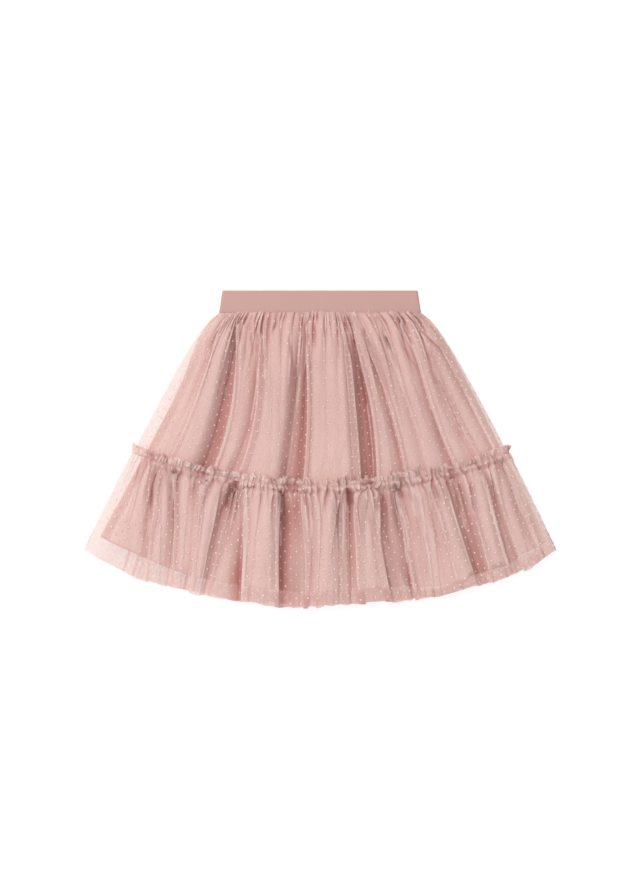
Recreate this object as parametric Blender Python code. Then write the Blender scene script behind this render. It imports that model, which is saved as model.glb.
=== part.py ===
"""A child's tulle skirt, laid flat on its back.

Frame: metres, +Z up. +X runs across the skirt and +Y from the hem to the waistband. The origin is the
middle of the skirt's footprint, on the surface that the skirt lies on.

Every panel is a wall of cloth over one shared grid. A line across the skirt has a level: 0 at the
waistband, 1 at the seam of the ruffle and 2 at the ruffle's hem. A line down the skirt keeps its share
of the half width: -1 and 1 at the side folds. Apart from the hem's scallops and the heading's flared
ends, the panels differ in their heights alone. Each one is worked out over the tops of those under it,
so walls that lie close never cross.
"""

from collections import namedtuple

import bpy
import numpy as np

# ---------------------------------------------------------------- driving dimensions, metres

BAND_TOP_Y = 0.1820  # half the skirt's whole length
BAND_HEIGHT = 0.025
BAND_TOP_HALF = 0.1122
BAND_FOOT_HALF = 0.1158
BAND_DEPTH = 0.0056  # the flattened loop, outside to outside
BAND_WALL = 0.0020
BAND_EDGE_ROUND = 0.0007
BAND_STRAIGHT_STEPS = 6
BAND_END_STEPS = 6

GAP = 0.0003  # between pieces that are sewn to or lie on each other
TULLE_WALL = 0.0013
LINING_WALL = 0.0012
STEEPEST_WALL = 1.8  # the most that a steep fold adds to a wall's upright thickness, as a factor
OVER_GATHERS = 0.0003  # more air where the ruffle lies on the upper tier's gathers
HEADING_FLARE = 0.005  # how far the heading's ends stand out past the side folds

# Columns from side fold to side fold. The finer grids split the coarse one evenly.
COARSE_COLUMNS = 52
UPPER_COLUMNS = 2 * COARSE_COLUMNS
RUFFLE_COLUMNS = 3 * COARSE_COLUMNS
COLUMNS_IN_A_GATHER = 3
WAIST_GATHERS = UPPER_COLUMNS / COLUMNS_IN_A_GATHER  # across the front
HEADING_GATHERS = RUFFLE_COLUMNS / COLUMNS_IN_A_GATHER

# Levels where a panel has a line. A panel has the lines of those under it, as far as it covers them.
HEADING_TOP = 0.96
SEAM = 1.0
UPPER_END = 1.03
LINING_END = 1.87
HEM = 2.0
UPPER_BACK_LEVELS = (0.0, 0.12, 0.25, 0.5, 0.9, HEADING_TOP, UPPER_END)
RUFFLE_BACK_LEVELS = (HEADING_TOP, UPPER_END, 1.2, 1.63, LINING_END, HEM)
LINING_BACK_LEVELS = (0.0, 0.12, 0.25, 0.5, 0.9, HEADING_TOP, UPPER_END, 1.2, 1.63, LINING_END)
LINING_FRONT_LEVELS = (
    0.0, 0.05, 0.12, 0.25, 0.5, 0.75, 0.9, HEADING_TOP, UPPER_END, 1.2, 1.4, 1.63, LINING_END
)
UPPER_FRONT_LEVELS = (0.0, 0.02, 0.05, 0.12, 0.25, 0.5, 0.75, 0.9, HEADING_TOP, SEAM, UPPER_END)
RUFFLE_FRONT_LEVELS = (HEADING_TOP, 0.98, SEAM, UPPER_END, 1.08, 1.2, 1.4, 1.63, LINING_END, HEM)

HalfWidth = namedtuple("HalfWidth", "level half_width")
HALF_WIDTHS = (
    HalfWidth(0.00, 0.1165),
    HalfWidth(0.05, 0.1265),
    HalfWidth(0.12, 0.1360),
    HalfWidth(0.25, 0.1500),
    HalfWidth(0.50, 0.1730),
    HalfWidth(0.75, 0.1945),
    HalfWidth(1.00, 0.2150),
    HalfWidth(1.50, 0.2450),
    HalfWidth(2.00, 0.2714),
)

# The levels are straight at the waistband and bow down in the middle further on.
LevelLine = namedtuple("LevelLine", "level side_y middle_y")
LEVEL_LINES = (
    LevelLine(0.0, BAND_TOP_Y - BAND_HEIGHT - GAP, BAND_TOP_Y - BAND_HEIGHT - GAP),
    LevelLine(SEAM, -0.0052, -0.0443),
    LevelLine(HEM, -0.1179, -BAND_TOP_Y),
)

# A crease is a ridge or a valley that runs down a panel. Its place across the skirt is a share of the
# half width at the panel's head, middle and foot, and its height there is that of the cloth's
# underside over the surface that the skirt lies on.
Crease = namedtuple("Crease", "head middle foot middle_height foot_height")
UPPER_CREASES = (
    Crease(-0.926, -0.885, -0.882, 0.0095, 0.0090),
    Crease(-0.877, -0.825, -0.850, 0.0062, 0.0062),
    Crease(-0.828, -0.765, -0.760, 0.0135, 0.0125),
    Crease(-0.768, -0.647, -0.610, 0.0048, 0.0048),
    Crease(-0.719, -0.595, -0.555, 0.0115, 0.0105),
    Crease(-0.670, -0.540, -0.500, 0.0130, 0.0120),
    Crease(-0.581, -0.453, -0.455, 0.0080, 0.0070),
    Crease(-0.532, -0.390, -0.385, 0.0140, 0.0130),
    Crease(-0.315, -0.267, -0.267, 0.0150, 0.0130),
    Crease(-0.185, -0.178, -0.205, 0.0048, 0.0050),
    Crease(-0.160, -0.142, -0.166, 0.0085, 0.0075),
    Crease(-0.135, -0.107, -0.125, 0.0060, 0.0052),
    Crease(-0.079, -0.053, -0.064, 0.0150, 0.0135),
    Crease(0.158, 0.147, 0.128, 0.0160, 0.0140),
    Crease(0.246, 0.267, 0.257, 0.0055, 0.0050),
    Crease(0.286, 0.353, 0.358, 0.0130, 0.0120),
    Crease(0.325, 0.453, 0.460, 0.0090, 0.0070),
    Crease(0.542, 0.553, 0.561, 0.0140, 0.0130),
    Crease(0.768, 0.675, 0.690, 0.0080, 0.0070),
    Crease(0.828, 0.737, 0.759, 0.0110, 0.0110),
    Crease(0.880, 0.800, 0.829, 0.0062, 0.0060),
    Crease(0.911, 0.862, 0.877, 0.0120, 0.0110),
    Crease(0.940, 0.925, 0.930, 0.0060, 0.0055),
)
RUFFLE_CREASES = (
    Crease(-0.930, -0.892, -0.881, 0.0090, 0.0090),
    Crease(-0.866, -0.803, -0.754, 0.0060, 0.0050),
    Crease(-0.824, -0.761, -0.712, 0.0130, 0.0120),
    Crease(-0.786, -0.700, -0.644, 0.0080, 0.0060),
    Crease(-0.738, -0.657, -0.610, 0.0130, 0.0120),
    Crease(-0.652, -0.596, -0.568, 0.0105, 0.0095),
    Crease(-0.572, -0.540, -0.530, 0.0140, 0.0150),
    Crease(-0.476, -0.488, -0.496, 0.0050, 0.0048),
    Crease(-0.428, -0.441, -0.449, 0.0130, 0.0130),
    Crease(-0.396, -0.375, -0.355, 0.0080, 0.0050),
    Crease(-0.360, -0.335, -0.310, 0.0160, 0.0180),
    Crease(-0.246, -0.214, -0.190, 0.0170, 0.0190),
    Crease(-0.203, -0.170, -0.148, 0.0048, 0.0050),
    Crease(-0.107, -0.094, -0.093, 0.0080, 0.0090),
    Crease(-0.064, -0.047, -0.042, 0.0130, 0.0140),
    Crease(0.037, 0.033, 0.030, 0.0160, 0.0170),
    Crease(0.100, 0.087, 0.079, 0.0090, 0.0090),
    Crease(0.125, 0.112, 0.106, 0.0110, 0.0110),
    Crease(0.155, 0.141, 0.133, 0.0060, 0.0070),
    Crease(0.235, 0.211, 0.203, 0.0150, 0.0160),
    Crease(0.348, 0.310, 0.303, 0.0060, 0.0070),
    Crease(0.378, 0.351, 0.335, 0.0110, 0.0110),
    Crease(0.412, 0.390, 0.369, 0.0060, 0.0050),
    Crease(0.481, 0.432, 0.415, 0.0130, 0.0130),
    Crease(0.529, 0.479, 0.466, 0.0090, 0.0090),
    Crease(0.588, 0.545, 0.559, 0.0150, 0.0170),
    Crease(0.684, 0.657, 0.653, 0.0055, 0.0050),
    Crease(0.802, 0.742, 0.720, 0.0140, 0.0150),
    Crease(0.880, 0.836, 0.831, 0.0070, 0.0060),
    Crease(0.910, 0.878, 0.872, 0.0115, 0.0115),
    Crease(0.940, 0.920, 0.915, 0.0070, 0.0060),
    Crease(0.965, 0.958, 0.962, 0.0080, 0.0085),
)
# The lining runs under both tiers and has only their broad folds.
LINING_CREASES = (
    Crease(-0.900, -0.900, -0.870, 0.0045, 0.0040),
    Crease(-0.820, -0.760, -0.740, 0.0085, 0.0085),
    Crease(-0.770, -0.610, -0.490, 0.0035, 0.0035),
    Crease(-0.500, -0.350, -0.270, 0.0095, 0.0105),
    Crease(-0.180, -0.200, -0.160, 0.0035, 0.0035),
    Crease(0.040, 0.030, 0.030, 0.0110, 0.0115),
    Crease(0.250, 0.270, 0.300, 0.0035, 0.0040),
    Crease(0.540, 0.490, 0.500, 0.0090, 0.0100),
    Crease(0.768, 0.690, 0.650, 0.0045, 0.0035),
    Crease(0.850, 0.800, 0.740, 0.0080, 0.0090),
    Crease(0.920, 0.910, 0.850, 0.0045, 0.0040),
)
# On the back the folds are pressed by the skirt's weight into shallow grooves of the underside.
BACK_FOLD_RISE = 0.0022
BACK_FOLD_HALF = 2.0 / COARSE_COLUMNS  # share of the half width from a groove's middle to its edge
UPPER_BACK_FOLDS = (-0.70, -0.44, -0.18, 0.07, 0.37, 0.67)
RUFFLE_BACK_FOLDS = (-0.82, -0.56, -0.33, -0.11, 0.15, 0.41, 0.59, 0.82)

# Gathers: how deep they are at each level, and how far they stand the cloth off what is under it.
Gather = namedtuple("Gather", "level depth stand")
UPPER_GATHERS = (
    Gather(0.000, 0.0008, 0.0),
    Gather(0.025, 0.0026, 0.0),
    Gather(0.070, 0.0032, 0.0),
    Gather(0.150, 0.0022, 0.0),
    Gather(0.300, 0.0010, 0.0),
    Gather(0.500, 0.0004, 0.0),
    Gather(0.900, 0.0003, 0.0),
    Gather(1.030, 0.0006, 0.0),
)
RUFFLE_GATHERS = (
    Gather(HEADING_TOP, 0.0042, 0.0022),
    Gather(0.980, 0.0030, 0.0012),
    Gather(SEAM, 0.0010, 0.0),
    Gather(1.030, 0.0022, 0.0),
    Gather(1.080, 0.0034, 0.0),
    Gather(1.200, 0.0028, 0.0),
    Gather(1.400, 0.0014, 0.0),
    Gather(1.630, 0.0007, 0.0),
    Gather(HEM, 0.0005, 0.0),
)
SOFTNESS = 0.0005  # rounds the line where a fold settles on what is under it

# The cut edge of the hem isn't quite even: it rises in shallow scallops off the middle.
HEM_RISE = 0.0022
FRONT_HEM_WAVES = 9
BACK_HEM_WAVES = 7

Finish = namedtuple("Finish", "name colour roughness")
ELASTIC = Finish("covered_elastic", (0.62, 0.38, 0.34), 0.80)
TULLE = Finish("dotted_tulle", (0.72, 0.50, 0.45), 0.75)
LINING = Finish("plain_lining", (0.56, 0.32, 0.29), 0.85)

Panel = namedtuple("Panel", "name levels shares underside top")


# ---------------------------------------------------------------- the shared grid

def column_shares(columns):
    """The grid's lines down the skirt, from one side fold to the other."""
    return np.linspace(-1.0, 1.0, columns + 1)


def grid_points(levels, shares):
    """X and Y of every crossing. X is the share of the half width at that level. Y bows: it falls
    from the side to the middle with the square of the share."""
    half_table = np.array(HALF_WIDTHS)
    line_table = np.array(LEVEL_LINES)
    half = np.interp(levels, half_table[:, 0], half_table[:, 1])
    side_y = np.interp(levels, line_table[:, 0], line_table[:, 1])
    middle_y = np.interp(levels, line_table[:, 0], line_table[:, 2])
    x = half[:, None] * shares[None, :]
    y = middle_y[:, None] + (side_y - middle_y)[:, None] * shares[None, :] ** 2
    return x, y


def top_over(panel, levels, shares):
    """The panel's top at other crossings, read straight between its own lines. Where the panel
    doesn't reach it is the floor, 0."""
    along_rows = np.array(
        [np.interp(shares, panel.shares, row, left=-1.0, right=-1.0) for row in panel.top]
    )
    tops = np.array(
        [np.interp(levels, panel.levels, column, left=-1.0, right=-1.0) for column in along_rows.T]
    ).T
    return np.where(tops > 0.0, tops, 0.0)


def bearing(panels, levels, shares):
    """The height at which a panel just clears all those under it."""
    heights = np.zeros((len(levels), len(shares)))
    for panel in panels:
        top = top_over(panel, levels, shares)
        heights = np.maximum(heights, np.where(top > 0.0, top + GAP, 0.0))
    return heights


# ---------------------------------------------------------------- folds, gathers and scallops

def crease_heights(creases, first_level, last_level, levels, shares):
    """The height that the folds give the cloth. A crease keeps to a parabola through its three
    places. Its height eases in from nothing at the head to the middle, and is straight from there.
    Between two creases the cloth follows a smooth S, flat on both."""
    heights = np.zeros((len(levels), len(shares)))
    for row, level in enumerate(levels):
        way = np.clip((level - first_level) / (last_level - first_level), 0.0, 1.0)
        head = (1.0 - way) * (1.0 - 2.0 * way)
        middle = 4.0 * way * (1.0 - way)
        foot = way * (2.0 * way - 1.0)
        places = [-1.0]
        lifts = [0.0]
        for crease in creases:
            place = head * crease.head + middle * crease.middle + foot * crease.foot
            places.append(max(place, places[-1] + 1e-4))
            if way < 0.5:
                lifts.append(crease.middle_height * (1.0 - (1.0 - 2.0 * way) ** 2))
            else:
                later = 2.0 * way - 1.0
                lifts.append((1.0 - later) * crease.middle_height + later * crease.foot_height)
        places = np.array(places + [1.0])
        lifts = np.array(lifts + [0.0])
        left = np.clip(np.searchsorted(places, shares, side="right") - 1, 0, len(places) - 2)
        part = (shares - places[left]) / (places[left + 1] - places[left])
        eased = part**2 * (3.0 - 2.0 * part)
        heights[row] = lifts[left] + (lifts[left + 1] - lifts[left]) * eased
    return heights


def gather_heights(gathers, count, levels, shares):
    """Small even waves across the cloth, deeper and shallower by turns, with the depth and the stand
    that the table gives for each level. They die away towards the side folds."""
    table = np.array(gathers)
    depth = np.interp(levels, table[:, 0], table[:, 1])
    stand = np.interp(levels, table[:, 0], table[:, 2])
    wave = 0.5 - 0.5 * np.cos(np.pi * count * (shares + 1.0))
    uneven = 0.78 + 0.22 * np.sin(17.0 * shares + 0.6)
    to_sides = np.clip((1.0 - np.abs(shares)) / 0.04, 0.0, 1.0)
    return (depth[:, None] * (wave * uneven)[None, :] + stand[:, None]) * to_sides[None, :]


def settled(wanted, bearing_heights):
    """The wanted height where it is above what carries the cloth, eased into that elsewhere."""
    over = (wanted - bearing_heights) / SOFTNESS
    return bearing_heights + SOFTNESS * np.logaddexp(0.0, over)


def wall_top(underside, x, wall):
    """The top of a wall with this underside. The wall's thickness is square to the cloth's slope across
    the skirt, so its upright thickness grows where a fold is steep."""
    slope = np.gradient(underside, axis=1) / np.gradient(x, axis=1)
    return underside + wall * np.minimum(np.sqrt(1.0 + slope**2), STEEPEST_WALL)


def groove_heights(folds, levels, shares):
    """Shallow grooves of triangular section, each centred on the coarse grid's nearest line down the
    back. They end at the waistband."""
    heights = np.zeros(len(shares))
    for fold in folds:
        line = np.round(fold / BACK_FOLD_HALF) * BACK_FOLD_HALF
        heights = np.maximum(heights, 1.0 - np.abs(shares - line) / BACK_FOLD_HALF)
    growth = np.clip(np.array(levels) / 0.3, 0.0, 1.0)
    return BACK_FOLD_RISE * growth[:, None] * heights[None, :]


def hem_scallops(shares, waves):
    """How far the cut edge rises: nothing in the middle, then rounded waves."""
    from_middle = np.minimum(1.0, np.abs(shares) / 0.3) * np.clip((1.0 - np.abs(shares)) / 0.1, 0.0, 1.0)
    return HEM_RISE * from_middle * (0.5 - 0.5 * np.cos(np.pi * waves * shares))


# ---------------------------------------------------------------- objects

def finish_material(finish):
    """A Principled material in the finish's colour."""
    material = bpy.data.materials.get(finish.name)
    if material is None:
        material = bpy.data.materials.new(finish.name)
        material.use_nodes = True
        shader = material.node_tree.nodes["Principled BSDF"]
        shader.inputs["Base Color"].default_value = (*finish.colour, 1.0)
        shader.inputs["Roughness"].default_value = finish.roughness
        shader.inputs["Metallic"].default_value = 0.0
        material.diffuse_color = (*finish.colour, 1.0)
    return material


def add_object(name, points, faces, finish):
    """One smooth-shaded mesh object."""
    mesh = bpy.data.meshes.new(name)
    mesh.from_pydata(points.tolist(), [], faces)
    mesh.shade_smooth()
    mesh.materials.append(finish_material(finish))
    piece = bpy.data.objects.new(name, mesh)
    bpy.context.scene.collection.objects.link(piece)
    return piece


def sheet_faces(rows, columns, first, upwards):
    """Triangles over a grid of points that starts at the point numbered first. Every cell is split
    along the same diagonal, so that sheets over one another bend alike."""
    faces = []
    for row in range(rows - 1):
        for column in range(columns - 1):
            a = first + row * columns + column
            b = a + 1
            c = a + columns
            d = c + 1
            faces += [(a, c, d), (a, d, b)] if upwards else [(a, d, c), (a, b, d)]
    return faces


def rim_faces(rows, columns, under):
    """Triangles that join the edges of the upper and lower sheet, all the way round."""
    edge = list(range(columns))
    edge += [row * columns + columns - 1 for row in range(1, rows)]
    edge += [(rows - 1) * columns + column for column in range(columns - 2, -1, -1)]
    edge += [row * columns for row in range(rows - 2, 0, -1)]
    faces = []
    for here, there in zip(edge, edge[1:] + edge[:1]):
        faces += [(here, there, under + there), (here, under + there, under + here)]
    return faces


def add_panel(panel, x, y, finish):
    """The panel as one closed wall: its top, its underside and the rim."""
    rows = len(panel.levels)
    columns = len(panel.shares)
    under = rows * columns
    top = np.stack([x, y, panel.top], axis=-1).reshape(-1, 3)
    underside = np.stack([x, y, panel.underside], axis=-1).reshape(-1, 3)
    faces = sheet_faces(rows, columns, 0, True)
    faces += sheet_faces(rows, columns, under, False)
    faces += rim_faces(rows, columns, under)
    return add_object(panel.name, np.concatenate([top, underside]), faces, finish)


# ---------------------------------------------------------------- the pieces

def upper_tier_back(below):
    """The back of the gathered tier. It lies on the surface, and on the ruffle at its foot."""
    levels = np.array(UPPER_BACK_LEVELS)
    shares = column_shares(COARSE_COLUMNS)
    x, y = grid_points(levels, shares)
    grooves = groove_heights(UPPER_BACK_FOLDS, levels, shares)
    underside = np.maximum(bearing(below, levels, shares), grooves)
    panel = Panel("upper_tier_back", levels, shares, underside, wall_top(underside, x, TULLE_WALL))
    add_panel(panel, x, y, TULLE)
    return panel


def flare_heading(x, levels, shares):
    """Moves the heading's ends out past the side folds: all the way at its top, less at the seam."""
    at_ends = np.clip((np.abs(shares) - 0.94) / 0.06, 0.0, 1.0) ** 2 * np.sign(shares)
    at_level = np.interp(levels, (HEADING_TOP, SEAM, 1.2), (1.0, 0.6, 0.0))
    return x + HEADING_FLARE * at_level[:, None] * at_ends[None, :]


def ruffle_back():
    """The back of the ruffle, with its heading. It lies flat on the surface."""
    levels = np.array(RUFFLE_BACK_LEVELS)
    shares = column_shares(COARSE_COLUMNS)
    x, y = grid_points(levels, shares)
    y[-1] += hem_scallops(shares, BACK_HEM_WAVES)
    underside = groove_heights(RUFFLE_BACK_FOLDS, levels - SEAM, shares)
    panel = Panel("ruffle_back", levels, shares, underside, wall_top(underside, x, TULLE_WALL))
    add_panel(panel, flare_heading(x, levels, shares), y, TULLE)
    return panel


def lining_back(below):
    """The back of the lining, on the inside of both tiers."""
    levels = np.array(LINING_BACK_LEVELS)
    shares = column_shares(COARSE_COLUMNS)[1:-1]
    x, y = grid_points(levels, shares)
    underside = bearing(below, levels, shares)
    panel = Panel("lining_back", levels, shares, underside, wall_top(underside, x, LINING_WALL))
    add_panel(panel, x, y, LINING)
    return panel


def lining_front(below):
    """The front of the lining, which lies on its back and stands off it in broad folds."""
    levels = np.array(LINING_FRONT_LEVELS)
    shares = column_shares(COARSE_COLUMNS)[1:-1]
    x, y = grid_points(levels, shares)
    folds = crease_heights(LINING_CREASES, 0.0, LINING_END, levels, shares)
    underside = settled(folds, bearing(below, levels, shares))
    panel = Panel("lining_front", levels, shares, underside, wall_top(underside, x, LINING_WALL))
    add_panel(panel, x, y, LINING)
    return panel


def upper_tier_front(below):
    """The front of the gathered tier, over the lining."""
    levels = np.array(UPPER_FRONT_LEVELS)
    shares = column_shares(UPPER_COLUMNS)
    x, y = grid_points(levels, shares)
    folds = crease_heights(UPPER_CREASES, 0.0, SEAM, levels, shares)
    underside = settled(folds, bearing(below, levels, shares))
    underside += gather_heights(UPPER_GATHERS, WAIST_GATHERS, levels, shares)
    panel = Panel("upper_tier_front", levels, shares, underside, wall_top(underside, x, TULLE_WALL))
    add_panel(panel, x, y, TULLE)
    return panel


def ruffle_front(below):
    """The front of the ruffle: the heading stands over the seam, and the rest hangs from it."""
    levels = np.array(RUFFLE_FRONT_LEVELS)
    shares = column_shares(RUFFLE_COLUMNS)
    x, y = grid_points(levels, shares)
    y[-1] += hem_scallops(shares, FRONT_HEM_WAVES)
    folds = crease_heights(RUFFLE_CREASES, SEAM, HEM, levels, shares)
    on_tier = np.interp(levels, (UPPER_END, 1.08), (OVER_GATHERS, 0.0))
    carried = bearing(below, levels, shares) + on_tier[:, None]
    underside = settled(folds, carried)
    underside += gather_heights(RUFFLE_GATHERS, HEADING_GATHERS, levels, shares)
    panel = Panel("ruffle_front", levels, shares, underside, wall_top(underside, x, TULLE_WALL))
    add_panel(panel, flare_heading(x, levels, shares), y, TULLE)


def flat_ring(half_width, inset, straight_steps, end_steps):
    """One turn round the flattened loop, as X and Z, clockwise as seen from the hem: straight along the
    floor side and the upper side, with half circles at the ends. Inset moves it in from the outside."""
    radius = BAND_DEPTH / 2.0
    centre = half_width - radius
    along = np.linspace(-centre, centre, straight_steps + 1)
    turn = np.linspace(-np.pi / 2.0, np.pi / 2.0, end_steps + 1)[1:-1]
    reach = radius - inset
    x = np.concatenate([along, centre + reach * np.cos(turn), along[::-1], -centre - reach * np.cos(turn)])
    z = np.concatenate([
        np.full(len(along), radius - reach),
        radius + reach * np.sin(turn),
        np.full(len(along), radius + reach),
        radius - reach * np.sin(turn),
    ])
    return x, z


def waistband():
    """The elastic waistband: a flattened loop with a rounded section. Its height runs along Y, and it
    narrows a little towards the top."""
    foot = BAND_TOP_Y - BAND_HEIGHT
    section = (  # distance up the band, distance in from its outside
        (0.0, BAND_EDGE_ROUND),
        (BAND_EDGE_ROUND, 0.0),
        (BAND_HEIGHT / 2.0, 0.0),
        (BAND_HEIGHT - BAND_EDGE_ROUND, 0.0),
        (BAND_HEIGHT, BAND_EDGE_ROUND),
        (BAND_HEIGHT, BAND_WALL - BAND_EDGE_ROUND),
        (BAND_HEIGHT - BAND_EDGE_ROUND, BAND_WALL),
        (BAND_EDGE_ROUND, BAND_WALL),
        (0.0, BAND_WALL - BAND_EDGE_ROUND),
    )
    rings = []
    for up, inset in section:
        half_width = BAND_FOOT_HALF + (BAND_TOP_HALF - BAND_FOOT_HALF) * up / BAND_HEIGHT
        x, z = flat_ring(half_width, inset, BAND_STRAIGHT_STEPS, BAND_END_STEPS)
        rings.append(np.stack([x, np.full(len(x), foot + up), z], axis=-1))
    around = len(rings[0])
    faces = []
    for ring in range(len(rings)):
        after = (ring + 1) % len(rings)
        for point in range(around):
            beside = (point + 1) % around
            a = ring * around + point
            b = ring * around + beside
            c = after * around + beside
            d = after * around + point
            faces.append((a, d, c, b))
    return add_object("waistband", np.concatenate(rings), faces, ELASTIC)


def main():
    for existing in list(bpy.data.objects):
        bpy.data.objects.remove(existing, do_unlink=True)
    waistband()
    back_ruffle = ruffle_back()
    back_tier = upper_tier_back([back_ruffle])
    back_lining = lining_back([back_ruffle, back_tier])
    front_lining = lining_front([back_ruffle, back_tier, back_lining])
    front_tier = upper_tier_front([back_ruffle, back_tier, back_lining, front_lining])
    ruffle_front([back_ruffle, back_tier, back_lining, front_lining, front_tier])


main()
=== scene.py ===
# %% [markdown]
# # A child's tulle skirt, laid flat on its back
#
# The skirt has a wide covered elastic, a tier of dotted tulle gathered into it, a ruffle of the same
# tulle gathered on to the tier with a narrow frilled heading above the seam, and a plain lining that
# shows through. All of it is cloth, so every piece here is a tube of cloth: a grid of points that runs
# once round the skirt and down it, with the folds worked out as arrays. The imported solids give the
# frame, in metres: +X across, +Y from the hem to the waistband, +Z up from the surface.

import bpy
import numpy as np
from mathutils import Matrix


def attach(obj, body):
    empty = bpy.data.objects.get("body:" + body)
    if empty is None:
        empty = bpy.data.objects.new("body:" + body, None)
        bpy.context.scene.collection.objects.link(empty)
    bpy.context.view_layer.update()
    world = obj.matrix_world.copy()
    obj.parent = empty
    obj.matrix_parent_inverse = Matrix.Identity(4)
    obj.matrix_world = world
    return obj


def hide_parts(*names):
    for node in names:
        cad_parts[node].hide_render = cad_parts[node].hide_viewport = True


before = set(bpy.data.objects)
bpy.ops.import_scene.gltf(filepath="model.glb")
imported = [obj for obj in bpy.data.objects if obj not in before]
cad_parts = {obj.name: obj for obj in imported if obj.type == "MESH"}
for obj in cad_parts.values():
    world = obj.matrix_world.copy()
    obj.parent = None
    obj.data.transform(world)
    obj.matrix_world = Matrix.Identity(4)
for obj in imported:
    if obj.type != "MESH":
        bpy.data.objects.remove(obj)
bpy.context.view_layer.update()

# %% [markdown]
# ## Camera, light and floor
#
# The skirt is seen from straight above. A long lens far away keeps the waistband and the hem at one
# scale. The light is that of a pale studio: light from all round, and one large soft lamp up and to the
# left that gives the folds a bright side and a shaded one.

# %% Camera
CAMERA_HEIGHT = 2.5
VIEW_LENGTH = 1.0304  # metres of floor that the picture's long side spans
SENSOR = 36.0

scene = bpy.context.scene
camera_data = bpy.data.cameras.new("camera")
camera_data.sensor_width = SENSOR
camera_data.lens = SENSOR * CAMERA_HEIGHT / VIEW_LENGTH
camera_data.clip_end = 20.0
camera = bpy.data.objects.new("camera", camera_data)
camera.location = (0.0, 0.0, CAMERA_HEIGHT)
scene.collection.objects.link(camera)
scene.camera = camera
scene.view_settings.view_transform = "Standard"
scene.cycles.transparent_max_bounces = 48
scene.cycles.diffuse_bounces = 6
print("lens", round(camera_data.lens, 1), "mm")

# %% Light and floor
SKY_STRENGTH = 0.60
LAMP_PLACE = (-1.2, 0.7, 2.25)
LAMP_SIZE = 1.2
LAMP_POWER = 42.0
FLOOR_SIZE = 8.0

world = bpy.data.worlds.new("studio")
world.use_nodes = True
world.node_tree.nodes["Background"].inputs["Color"].default_value = (1.0, 1.0, 1.0, 1.0)
world.node_tree.nodes["Background"].inputs["Strength"].default_value = SKY_STRENGTH
scene.world = world


def aim(thing, target):
    """Turns a lamp so that it looks from its place at the target."""
    away = np.array(thing.location) - np.array(target)
    flat = np.hypot(away[0], away[1])
    thing.rotation_euler = (np.arctan2(flat, away[2]), 0.0, np.arctan2(away[0], -away[1]))


lamp_data = bpy.data.lights.new("key", "AREA")
lamp_data.size = LAMP_SIZE
lamp_data.energy = LAMP_POWER
lamp = bpy.data.objects.new("key", lamp_data)
lamp.location = LAMP_PLACE
aim(lamp, (0.0, 0.0, 0.0))
scene.collection.objects.link(lamp)

floor_mesh = bpy.data.meshes.new("floor")
half = FLOOR_SIZE / 2.0
floor_mesh.from_pydata([(-half, -half, 0.0), (half, -half, 0.0), (half, half, 0.0), (-half, half, 0.0)],
                       [], [(0, 1, 2, 3)])
floor = bpy.data.objects.new("floor", floor_mesh)
scene.collection.objects.link(floor)
print("lamp", LAMP_POWER, "W and sky", SKY_STRENGTH)

# %% [markdown]
# ## The skirt's plan
#
# A place on the skirt has a level and a share. The level is 0 at the waistband, 1 at the ruffle's seam
# and 2 at the hem. The share runs from -1 at the left side fold to 1 at the right one. The skirt widens
# quickly under the waistband and then almost straight, so the widths are a short table with a smooth
# curve through it. The levels bow down in the middle, because the skirt is cut from full circles. The
# lining's hem has a table of its own, since it shows through the net and steps where a fold holds it up.

# %% The plan in numbers
MM = 0.001
BAND_TOP_Y = 180.8 * MM
BAND_HEIGHT = 25.0 * MM
BAND_TOP_HALF = 112.2 * MM
BAND_FOOT_HALF = 115.8 * MM
BAND_DEPTH = 5.6 * MM
BAND_FOOT_Y = BAND_TOP_Y - BAND_HEIGHT
WIDTH_LEVELS = np.array([0.00, 0.05, 0.12, 0.25, 0.50, 0.75, 1.00, 1.50, 2.00])
HALF_WIDTHS = np.array([116.5, 126.5, 136.0, 150.0, 173.0, 194.5, 215.0, 245.0, 271.4]) * MM
LINE_LEVELS = np.array([0.0, 1.0, 2.0])
SIDE_Y = np.array([155.5, -5.2, -117.9]) * MM
MIDDLE_Y = np.array([155.5, -44.3, -182.0]) * MM
LINING_HEM_SHARES = np.array([-1.0, -0.76, -0.60, -0.3, 0.0, 0.35, 0.50, 0.62, 0.66, 0.81, 1.0])
LINING_HEM_LEVELS = np.array([1.80, 1.84, 1.875, 1.87, 1.87, 1.88, 1.94, 1.95, 1.885, 1.905, 1.89])


def through(at, knots, values):
    """A smooth curve through a short table. Between two knots it is the cubic that has the table's own
    slope at both, and outside the table it keeps the end values."""
    at = np.clip(at, knots[0], knots[-1])
    slopes = np.gradient(values, knots)
    k = np.clip(np.searchsorted(knots, at, side="right") - 1, 0, len(knots) - 2)
    step = knots[k + 1] - knots[k]
    q = (at - knots[k]) / step
    return ((1 + 2 * q) * (1 - q) ** 2 * values[k] + q * (1 - q) ** 2 * step * slopes[k]
            + q * q * (3 - 2 * q) * values[k + 1] + q * q * (q - 1) * step * slopes[k + 1])


def parabola(t):
    """The weights of a start, a middle and an end for the parabola through them, along the last axis."""
    return np.stack([(1 - t) * (1 - 2 * t), 4 * t * (1 - t), t * (2 * t - 1)], axis=-1)


def running(steps):
    """How far each place is from the first: nothing, and then the running sum of the steps."""
    return np.concatenate([[0.0], np.cumsum(steps)])


def half_width(level):
    """Half the skirt's width at a level."""
    return through(level, WIDTH_LEVELS, HALF_WIDTHS)


def down_y(level, share):
    """Y at a level and a share: a parabola across the skirt, from the side's Y to the middle's."""
    side = np.interp(level, LINE_LEVELS, SIDE_Y)
    middle = np.interp(level, LINE_LEVELS, MIDDLE_Y)
    return middle + (side - middle) * share ** 2


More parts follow.
